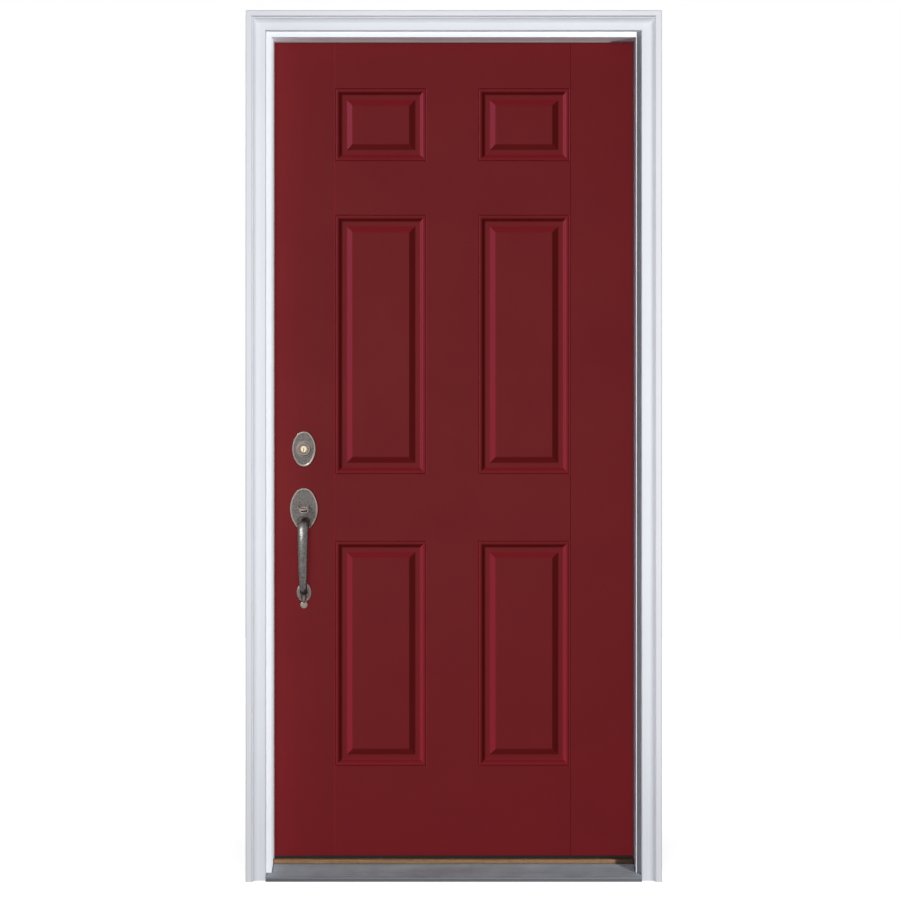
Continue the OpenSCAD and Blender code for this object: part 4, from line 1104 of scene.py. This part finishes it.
    def build(self) -> None:
        """Lay every face, press the panels and fit the skin."""
        columns, rows, half = self.columns(), self.rows(), self.joint[0] / 2
        lines = (columns[0][0] - self.joint_off, columns[1][1] + self.joint_off)
        grown = [(x0 - self.lip, x1 + self.lip) for x0, x1 in columns]
        self.lock_stile(lines[0] - half)
        self.flat(lines[0] + half, grown[0][0], self.low, self.high)
        self.mullion_face(grown[0][1], grown[1][0])
        self.flat(grown[1][1], lines[1] - half, self.low, self.high)
        self.hinge_stile(lines[1] + half)
        for x in lines:
            self.joint_line(x)
        for column, (x0, x1) in zip(columns, grown):
            level = self.low
            for row in rows:
                self.flat(x0, x1, level, row[0] - self.lip)
                self.panel(column, row)
                level = row[1] + self.lip
            self.flat(x0, x1, level, self.high)
        self.stitch()
        self.turn_edges()
        obj = new_object(f"pressed_{self.node}", self.bm)
        obj.data.shade_smooth()
        wall = obj.modifiers.new("skin_wall", "SOLIDIFY")
        wall.thickness = self.thickness * MM * self.wall
        wall.offset = -1.0
        even_shading(obj)
        fit_piece(obj, self.finish, self.node)


class Head(Enum):
    """Form of a screw's head."""

    COUNTERSUNK = "countersunk"
    PAN = "pan"
    NONE = "none"


@dataclass
class ScrewSet:
    """Screws of one node, each with a cross recess in its head."""

    node: str
    finish: Finish
    head: Head = Head.COUNTERSUNK
    pan_t: float = 2.4
    recess: float = 1.5
    # Shares of the head's radius: eased edge, length and half width of the recess's arms
    head_ease: float = 0.08
    arm_reach: float = 0.55
    arm_half: float = 0.12
    # Share of the recess's mouth that is left at its floor, and of the shank's radius at the tip
    recess_floor: float = 0.55
    tip: float = 0.3
    # An end is the head if it is wider than the other by this factor; a screw without a head faces up
    wider: float = 1.01
    sides: int = 40
    sharp_deg: float = 35.0

    def build(self) -> None:
        """Set one screw on each solid of the node, and fit the set as one piece."""
        source = node_mesh(self.node)
        bm = bmesh.new()
        for island in islands(source):
            self.screw(bm, [vert.co.copy() for vert in island])
        source.free()
        bmesh.ops.recalc_face_normals(bm, faces=bm.faces)
        obj = new_object(f"driven_{self.node}", bm)
        polish(obj, self.sharp_deg)
        fit_piece(obj, self.finish, self.node)

    def section(self, head_r: float, shank_r: float, length: float) -> list[tuple[float, float]]:
        """Draw the screw's half section.

        Args:
            head_r: radius of the head, in metres.
            shank_r: radius of the shank.
            length: length with the head.

        Returns:
            Radius and depth from the head's face to the tip.
        """
        ease = head_r * self.head_ease
        face = [(head_r - ease, 0.0), (head_r, ease)]
        tip = [(shank_r, length - shank_r), (shank_r * self.tip, length)]
        if self.head is Head.COUNTERSUNK:
            return [*face, (shank_r, head_r - shank_r), *tip]
        if self.head is Head.PAN:
            return [*face, (head_r, self.pan_t * MM), (shank_r, self.pan_t * MM), *tip]
        return [*face, *tip]

    def screw(self, bm: BMesh, points: Sequence[Vector]) -> None:
        """Turn one screw over a solid and sink its cross recess.

        Args:
            bm: mesh that takes the screw.
            points: vertices of the solid.
        """
        low = [min(p[i] for p in points) for i in range(3)]
        high = [max(p[i] for p in points) for i in range(3)]
        axis = max(range(3), key=lambda i: high[i] - low[i])
        u, v = [i for i in range(3) if i != axis]
        mid_u, mid_v = (low[u] + high[u]) / 2, (low[v] + high[v]) / 2
        reach = [
            max(math.hypot(p[u] - mid_u, p[v] - mid_v) for p in points if abs(p[axis] - end) < WELD)
            for end in (low[axis], high[axis])
        ]
        top, sense = (low[axis], 1) if reach[0] > reach[1] * self.wider else (high[axis], -1)

        def point(x: float, y: float, depth: float) -> BMVert:
            """Add a point by its place across and along the screw.

            Args:
                x: first distance from the axis.
                y: second distance from the axis.
                depth: distance below the head's face.

            Returns:
                The new vertex.
            """
            place = [0.0, 0.0, 0.0]
            place[u], place[v], place[axis] = mid_u + x, mid_v + y, top + sense * depth
            return bm.verts.new(place)

        section = self.section(max(reach), min(reach), high[axis] - low[axis])
        rings = [[point(r * c, r * s, depth) for c, s in circle(self.sides)] for r, depth in section]
        arm, half = max(reach) * self.arm_reach, max(reach) * self.arm_half
        cross = [
            (arm, -half), (arm, half), (half, half), (half, arm), (-half, arm), (-half, half),
            (-arm, half), (-arm, -half), (-half, -half), (-half, -arm), (half, -arm), (half, -half),
        ]
        mouth = [point(x, y, 0.0) for x, y in cross]
        floor = [point(x * self.recess_floor, y * self.recess_floor, self.recess * MM) for x, y in cross]
        bridge(bm, rings)
        bridge(bm, [mouth, floor])
        bm.faces.new(rings[-1])
        bm.faces.new(floor)
        rims = [bm.edges.get((loop[k - 1], loop[k])) for loop in (rings[0], mouth) for k in range(len(loop))]
        bmesh.ops.triangle_fill(bm, edges=rims, use_beauty=True)


@dataclass
class GripHandle:
    """Cast pull: a bowed grip that runs from the plate into an oval foot with a screw pad."""

    finish: Finish
    axis: tuple[float, float]
    plate_face: float = 6.4
    grip_drop: float = 36.0
    grip_out: float = 46.0
    top_size: tuple[float, float] = (28.0, 17.0)
    low_size: tuple[float, float] = (18.0, 12.5)
    # Power of the bow's curve; under one it is squarer than a circle
    square: float = 0.72
    foot_down: float = 211.0
    foot_size: tuple[float, float] = (36.5, 47.0)
    foot_t: float = 7.0
    foot_crown: float = 5.0
    foot_sink: float = 2.0
    # Half width, half height and rise of the ridge on the foot
    ridge: tuple[float, float, float] = (6.0, 19.0, 5.0)
    pad_r: float = 9.0
    pad_t: float = 5.0
    pad_crown: float = 1.2
    pad_lap: float = 2.0
    # Head radius, shank radius and countersink depth of the screw hole, and how far its cutter runs over
    hole: tuple[float, float, float] = (4.4, 2.4, 2.2)
    over: float = 1.0
    rings: int = 120
    sides: int = 48
    dome_steps: int = 14
    voxel: float = 0.6
    soften: float = 0.5
    soften_rounds: int = 9
    sharp_deg: float = 50.0

    def __post_init__(self) -> None:
        """Take the slab's face from the frame."""
        self.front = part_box("outside_skin")[0].y / MM
        self.top_z = self.axis[1] - self.grip_drop
        self.foot_z = self.axis[1] - self.foot_down
        self.pad_z = self.foot_z - self.foot_size[1] / 2 - self.pad_r + self.pad_lap

    def spine(self, turn: float) -> tuple[float, Vector]:
        """Follow the middle of the grip.

        Args:
            turn: angle along the bow, from 0 at the plate to pi at the foot.

        Returns:
            The share of the way down and the point there.
        """
        wave = math.copysign(abs(math.cos(turn)) ** self.square, math.cos(turn))
        share = (1 - wave) / 2
        lift = self.plate_face + share * (self.foot_t - self.foot_sink - self.plate_face)
        out = self.grip_out * max(math.sin(turn), 0.0) ** self.square
        down = self.top_z + share * (self.foot_z - self.top_z)
        return share, Vector((self.axis[0], self.front - lift - out, down))

    def loft(self, bm: BMesh, nudge: float = 0.002) -> None:
        """Loft the grip along its spine.

        Args:
            bm: mesh that takes the grip.
            nudge: turn to both sides of a point from which its heading is taken.
        """
        loops = []
        for k in range(self.rings + 1):
            turn = math.pi * k / self.rings
            share, here = self.spine(turn)
            _, before = self.spine(max(turn - nudge, 0.0))
            _, after = self.spine(min(turn + nudge, math.pi))
            heading = (after - before).normalized()
            across = Vector((1.0, 0.0, 0.0)).cross(heading)
            half_w, half_t = [
                (top + share * (low - top)) / 2 for top, low in zip(self.top_size, self.low_size)
            ]
            loops.append([
                bm.verts.new((here + Vector((half_w * c, 0.0, 0.0)) + across * (half_t * s)) * MM)
                for c, s in circle(self.sides)
            ])
        self.close(bm, loops)

    def oval(self, bm: BMesh, z: float, half: tuple[float, float], y: float) -> list[BMVert]:
        """Add an oval that faces the front, on the axis of the lock.

        Args:
            bm: mesh that takes the oval.
            z: height of its middle.
            half: its half width and half height.
            y: its place from front to back.

        Returns:
            Its vertices.
        """
        return [
            bm.verts.new(Vector((self.axis[0] + half[0] * c, y, z + half[1] * s)) * MM)
            for c, s in circle(self.sides)
        ]

    def close(self, bm: BMesh, loops: Sequence[Sequence[BMVert]]) -> None:
        """Skin a row of loops and cap both of its ends.

        Args:
            bm: mesh that holds the loops.
            loops: the loops in order.
        """
        bridge(bm, loops)
        bm.faces.new(loops[0][::-1])
        bm.faces.new(loops[-1])

    def dome(self, bm: BMesh, z: float, half: tuple[float, float], height: float, crown: float) -> None:
        """Cast a low oval dome on the slab's face.

        Args:
            bm: mesh that takes the dome.
            z: height of its middle.
            half: its half width and half height.
            height: how far it stands out.
            crown: the part of that height that is domed.
        """
        section = [(1.0, 0.0), (1.0, height - crown)]
        for k in range(1, self.dome_steps):
            a = math.pi / 2 * k / self.dome_steps
            section.append((math.cos(a), height - crown + crown * math.sin(a)))
        self.close(bm, [
            self.oval(bm, z, (half[0] * share, half[1] * share), self.front - out) for share, out in section
        ])

    def countersink(self) -> Object:
        """Make a cutter for the screw hole in the pad.

        Returns:
            The cutter.
        """
        head, shank, depth = self.hole
        face = self.front - self.pad_t
        section = [
            (head + self.over, face - self.over), (head, face), (shank, face + depth),
            (shank, self.front + self.over),
        ]
        bm = bmesh.new()
        self.close(bm, [self.oval(bm, self.pad_z, (r, r), y) for r, y in section])
        bmesh.ops.recalc_face_normals(bm, faces=bm.faces)
        return new_object("pad_cutter", bm)

    def build(self) -> None:
        """Cast the pull in one piece and fit it."""
        bm = bmesh.new()
        self.loft(bm)
        width, height = self.foot_size
        self.dome(bm, self.foot_z, (width / 2, height / 2), self.foot_t, self.foot_crown)
        half_w, half_h, rise = self.ridge
        self.dome(bm, self.foot_z - half_h / 3, (half_w, half_h), self.foot_t + rise, rise + self.foot_sink)
        self.dome(bm, self.pad_z, (self.pad_r, self.pad_r), self.pad_t, self.pad_crown)
        bmesh.ops.recalc_face_normals(bm, faces=bm.faces)
        obj = new_object("cast_grip_handle", bm)
        fuse = obj.modifiers.new("one_casting", "REMESH")
        fuse.mode = "VOXEL"
        fuse.voxel_size = self.voxel * MM
        fillets = obj.modifiers.new("cast_fillets", "SMOOTH")
        fillets.factor = self.soften
        fillets.iterations = self.soften_rounds
        cutter = self.countersink()
        drill = obj.modifiers.new("screw_hole", "BOOLEAN")
        drill.operation = "DIFFERENCE"
        drill.object = cutter
        settle(obj)
        bpy.data.objects.remove(cutter)
        polish(obj, self.sharp_deg)
        fit_piece(obj, self.finish, "grip_handle")


@dataclass
class Woodwork:
    """Painted jambs and brickmould of the frame."""

    arris: float = 0.8
    shortest: float = 25.0

    def build(self) -> None:
        """Ease and paint each board."""
        for board in ("hinge_jamb", "strike_jamb", "hinge_brickmould", "strike_brickmould"):
            EasedPart(board, LEG_WHITE, self.arris, self.shortest).build()
        for board in ("head_jamb", "head_brickmould"):
            EasedPart(board, HEAD_WHITE, self.arris, self.shortest).build()


@dataclass
class Sill:
    """Aluminium sill with its oak cap, and every seal round the slab."""

    deck_arris: float = 0.35
    cap_arris: float = 0.6
    seal_arris: float = 0.5
    shortest: float = 20.0

    def build(self) -> None:
        """Build and dress the sill and the seals."""
        EasedPart("sill_deck", MILL_ALUMINIUM, self.deck_arris, self.shortest, segments=2).build()
        EasedPart("threshold_cap", OAK, self.cap_arris, self.shortest).build()
        EasedPart("door_sweep", BLACK_VINYL, self.deck_arris, self.shortest, segments=2).build()
        for seal in ("hinge_weatherstrip", "strike_weatherstrip", "head_weatherstrip"):
            EasedPart(seal, SEAL_VINYL, self.seal_arris, self.shortest).build()
        EasedPart("corner_pads", SEAL_VINYL, self.seal_arris).build()
        ScrewSet("cap_adjusting_screws", SATIN_STEEL, Head.NONE).build()
        dress_node("sill_substrate", COMPOSITE)


@dataclass
class Slab:
    """Two pressed skins round a timber edge and a foam core."""

    arris: float = 0.5
    shortest: float = 25.0

    def build(self) -> None:
        """Build the skins, ease the edges that show and dress the core."""
        for side in Face:
            PressedSkin(side, DOOR_RED).build()
        for stile in ("lock_stile", "hinge_stile"):
            EasedPart(stile, UPRIGHT_PINE, self.arris, self.shortest, segments=2).build()
        for rail in ("top_rail", "bottom_rail"):
            EasedPart(rail, LEVEL_PINE, self.arris, self.shortest, segments=2).build()
        dress_node("lock_block", UPRIGHT_PINE)
        dress_node("foam_core", CORE_FOAM)


@dataclass
class HingeSet:
    """Three butt hinges with their pins and screws."""

    arris: float = 0.35

    def build(self) -> None:
        """Build and dress each hinge."""
        for place in ("top", "middle", "bottom"):
            for part in ("jamb_leaf", "slab_leaf", "hinge_pin"):
                EasedPart(f"{place}_{part}", SATIN_STEEL, self.arris, segments=2).build()
        for screws in ("jamb_hinge_screws", "slab_hinge_screws"):
            ScrewSet(screws, SATIN_STEEL).build()


@dataclass
class LockSet:
    """Deadbolt above a thumb-latch handle, with the bolts, the strikes and the inside trim."""

    # X and Z of the axis of the key plug and of the knob
    bolt_axis: tuple[float, float]
    latch_axis: tuple[float, float]
    trim_arris: float = 0.6
    fine_arris: float = 0.25

    def build(self) -> None:
        """Build and dress each piece of the lockset."""
        for trim in ("deadbolt_rose", "handle_plate", "deadbolt_inside_plate", "inside_rose", "inside_knob"):
            EasedPart(trim, PEWTER, self.trim_arris).build()
        for trim in ("deadbolt_cylinder", "thumb_piece", "thumb_turn"):
            EasedPart(trim, THIN_PEWTER, self.trim_arris).build()
        GripHandle(THIN_PEWTER, self.latch_axis).build()
        EasedPart("key_plug", TurnedBrass("brass_turned", "brass", self.bolt_axis), self.fine_arris).build()
        for metal in ("strike", "faceplate", "bolt"):
            for lock in ("latch", "deadbolt"):
                EasedPart(f"{lock}_{metal}", SATIN_STEEL, self.fine_arris, segments=2).build()
        for screws in ("strike_screws", "faceplate_screws", "foot_screw"):
            ScrewSet(screws, SATIN_STEEL).build()
        for screws in ("deadbolt_mounting_screws", "handle_mounting_screws"):
            ScrewSet(screws, SATIN_STEEL, Head.PAN).build()
        for inner in ("latch_case", "deadbolt_case", "knob_spindle", "deadbolt_tailpiece"):
            dress_node(inner, SATIN_STEEL)


class LampKind(Enum):
    """Kind of lamp."""

    SOFTBOX = "AREA"
    SUN = "SUN"


@dataclass(frozen=True)
class Lamp:
    """One soft lamp, and which pieces it lights and is shaded by."""

    name: str
    kind: LampKind
    place: tuple[float, float, float]
    # Width of a softbox in metres, or of the sun in degrees
    size: float
    power: float
    colour: tuple[float, float, float] = (1.0, 1.0, 1.0)
    aim: tuple[float, float, float] = (0.0, 0.05, 1.05)

    def hang(self, lit: Sequence[Object], shading: Sequence[Object]) -> None:
        """Hang the lamp, aimed at the middle of the door.

        Args:
            lit: the pieces that it lights, or none for all.
            shading: the pieces that shade its light, or none for all.
        """
        data = bpy.data.lights.new(self.name, self.kind.value)
        data.energy = self.power
        data.color = self.colour
        if self.kind is LampKind.SOFTBOX:
            data.shape = "DISK"
            data.size = self.size
        else:
            data.angle = math.radians(self.size)
        lamp = bpy.data.objects.new(self.name, data)
        bpy.context.scene.collection.objects.link(lamp)
        lamp.location = self.place
        heading = Vector(self.aim) - Vector(self.place)
        lamp.rotation_euler = heading.to_track_quat("-Z", "Y").to_euler()
        if lit:
            lamp.light_linking.receiver_collection = self.group("lit", lit)
        if shading:
            lamp.light_linking.blocker_collection = self.group("shading", shading)

    def group(self, use: str, pieces: Sequence[Object]) -> Collection:
        """Gather pieces for the lamp.

        Args:
            use: what the pieces are to the lamp.
            pieces: the pieces.

        Returns:
            A new collection of them.
        """
        made = bpy.data.collections.new(f"{self.name}_{use}")
        for obj in pieces:
            made.objects.link(obj)
        return made


@dataclass
class Studio:
    """Pale floor, white surround, soft lamps and the camera."""

    eye: tuple[float, float, float] = (-0.00903, -6.23175, 1.0407)
    # Focal length and sensor width in millimetres
    lens: float = 102.95
    sensor: float = 36.0
    floor_size: float = 16.0
    paper: str = "#f2f2f2"
    # What the paper gives back to the object, little, so that shaded edges of the frame stay dark
    paper_back: str = "#868686"
    paper_roughness: float = 0.9
    # The floor glows fully beyond the far reach, and by the share within the near one
    glow_reach: tuple[float, float] = (0.9, 2.6)
    glow_share: float = 0.7
    glow: float = 1.17
    # Light of the surround from below and from above
    fill: tuple[float, float] = (0.035, 0.065)
    # Raking light draws the pressed panels
    rake_key: Lamp = Lamp(
        "rake_key", LampKind.SUN, (-3.9, -1.05, 2.6), size=9.0, power=4.85, colour=(1.0, 0.88, 1.5),
    )
    slab_front: Lamp = Lamp(
        "slab_front", LampKind.SOFTBOX, (-0.4, -6.0, 1.4), size=3.0, power=132.0, colour=(1.0, 1.0, 0.85),
    )
    metal_key: Lamp = Lamp("metal_key", LampKind.SOFTBOX, (-2.2, -3.4, 3.2), size=1.2, power=210.0)
    mould_front: Lamp = Lamp("mould_front", LampKind.SOFTBOX, (0.4, -4.0, 1.4), size=3.4, power=152.0)
    side_key: Lamp = Lamp("side_key", LampKind.SOFTBOX, (7.4, -7.9, 0.95), size=1.0, power=1560.0)
    sill_key: Lamp = Lamp("sill_key", LampKind.SOFTBOX, (1.1, -1.0, 0.7), size=0.4, power=8.0)
    floor_key: Lamp = Lamp("floor_key", LampKind.SUN, (0.0, -1.0, 4.55), size=8.0, power=2.2)
    back_key: Lamp = Lamp("back_key", LampKind.SOFTBOX, (-2.4, 4.8, 3.2), size=2.4, power=230.0)

    def build(self) -> None:
        """Set up the floor, the surround, the lamps and the camera."""
        floor = self.floor()
        self.surround()
        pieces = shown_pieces()
        skins = [o for o in pieces if o.name.startswith("pressed_")]
        mould = [o for o in pieces if o.name.endswith("brickmould")]
        deck = [o for o in pieces if o.name.endswith("sill_deck")]
        leaf = [o for o in pieces if o["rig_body"] != "frame" and o not in skins]
        rest = [o for o in pieces if o["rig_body"] == "frame" and o not in mould]
        # Shaded by the floor alone, it leaves no long shadows of the beads and the pull
        self.rake_key.hang(skins, [floor])
        self.slab_front.hang(skins, pieces)
        self.metal_key.hang(leaf, leaf)
        self.mould_front.hang(mould, mould)
        self.side_key.hang(rest, [*rest, *mould])
        self.sill_key.hang(deck, [floor])
        self.floor_key.hang([floor], [])
        self.back_key.hang(pieces, pieces)
        self.camera()

    def floor(self) -> Object:
        """Lay a pale floor that keeps the shadow.

        Returns:
            The floor.
        """
        bm = bmesh.new()
        bmesh.ops.create_grid(bm, x_segments=1, y_segments=1, size=self.floor_size / 2)
        obj = new_object("studio_floor", bm)
        material = bpy.data.materials.new("studio_paper_rolled")
        material.use_nodes = True
        tree = material.node_tree
        shader = tree.nodes["Principled BSDF"]
        bounced = add_node(tree, "LightPath").outputs["Is Diffuse Ray"]
        paper = add_node(tree, "Mix", {0: bounced, 6: self.paper, 7: self.paper_back}, data_type="RGBA")
        matt = {"Base Color": paper, "Roughness": self.paper_roughness, "Specular IOR Level": 0.0}
        plug(tree, shader, matt)
        place = add_node(tree, "TexCoord").outputs["Object"]
        reach = add_node(tree, "VectorMath", {0: place}, operation="LENGTH").outputs["Value"]
        near, far = self.glow_reach
        spread = {"Value": reach, "From Min": near, "From Max": far, "To Min": self.glow_share}
        glowing = {0: seen_white(tree), 1: add_node(tree, "MapRange", spread)}
        share = add_node(tree, "Math", glowing, operation="MULTIPLY")
        glow = add_node(tree, "Emission", {"Strength": self.glow})
        mix = add_node(tree, "MixShader", {0: share, 1: shader, 2: glow})
        plug(tree, tree.nodes["Material Output"], {"Surface": mix})
        obj.data.materials.append(material)
        obj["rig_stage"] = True
        return obj

    def surround(self) -> None:
        """Put a white surround behind the object, dimmer for all rays that only bring its light."""
        world = bpy.data.worlds.new("studio_surround")
        bpy.context.scene.world = world
        world.use_nodes = True
        tree = world.node_tree
        place = add_node(tree, "TexCoord").outputs["Generated"]
        height = add_node(tree, "SeparateXYZ", {"Vector": place}).outputs["Z"]
        below, above = self.fill
        rise = {"Value": height, "From Min": -1.0, "To Min": below, "To Max": above}
        level = add_node(tree, "Mix", {0: seen_white(tree), 2: add_node(tree, "MapRange", rise), 3: 1.0})
        plug(tree, tree.nodes["Background"], {"Strength": level, "Color": "#ffffff"})

    def camera(self) -> None:
        """Set the camera straight in front of the door."""
        data = bpy.data.cameras.new("camera")
        data.lens = self.lens
        data.sensor_width = self.sensor
        camera = bpy.data.objects.new("camera", data)
        bpy.context.scene.collection.objects.link(camera)
        camera.location = self.eye
        camera.rotation_euler = (math.pi / 2, 0.0, 0.0)
        bpy.context.scene.camera = camera
        bpy.context.scene.view_settings.view_transform = "Standard"


def main() -> None:
    """Build every sub-assembly in order and light it."""
    logging.basicConfig(level=logging.INFO, format="%(name)s: %(message)s")
    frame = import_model()
    axes = {j["name"]: (j["pos_m"][0] / MM, j["pos_m"][2] / MM) for j in frame["joints"] if "pos_m" in j}
    Woodwork().build()
    Sill().build()
    Slab().build()
    HingeSet().build()
    LockSet(axes["key_turn"], axes["knob_turn"]).build()
    Studio().build()
    bpy.context.view_layer.update()


if __name__ == "__main__":
    main()
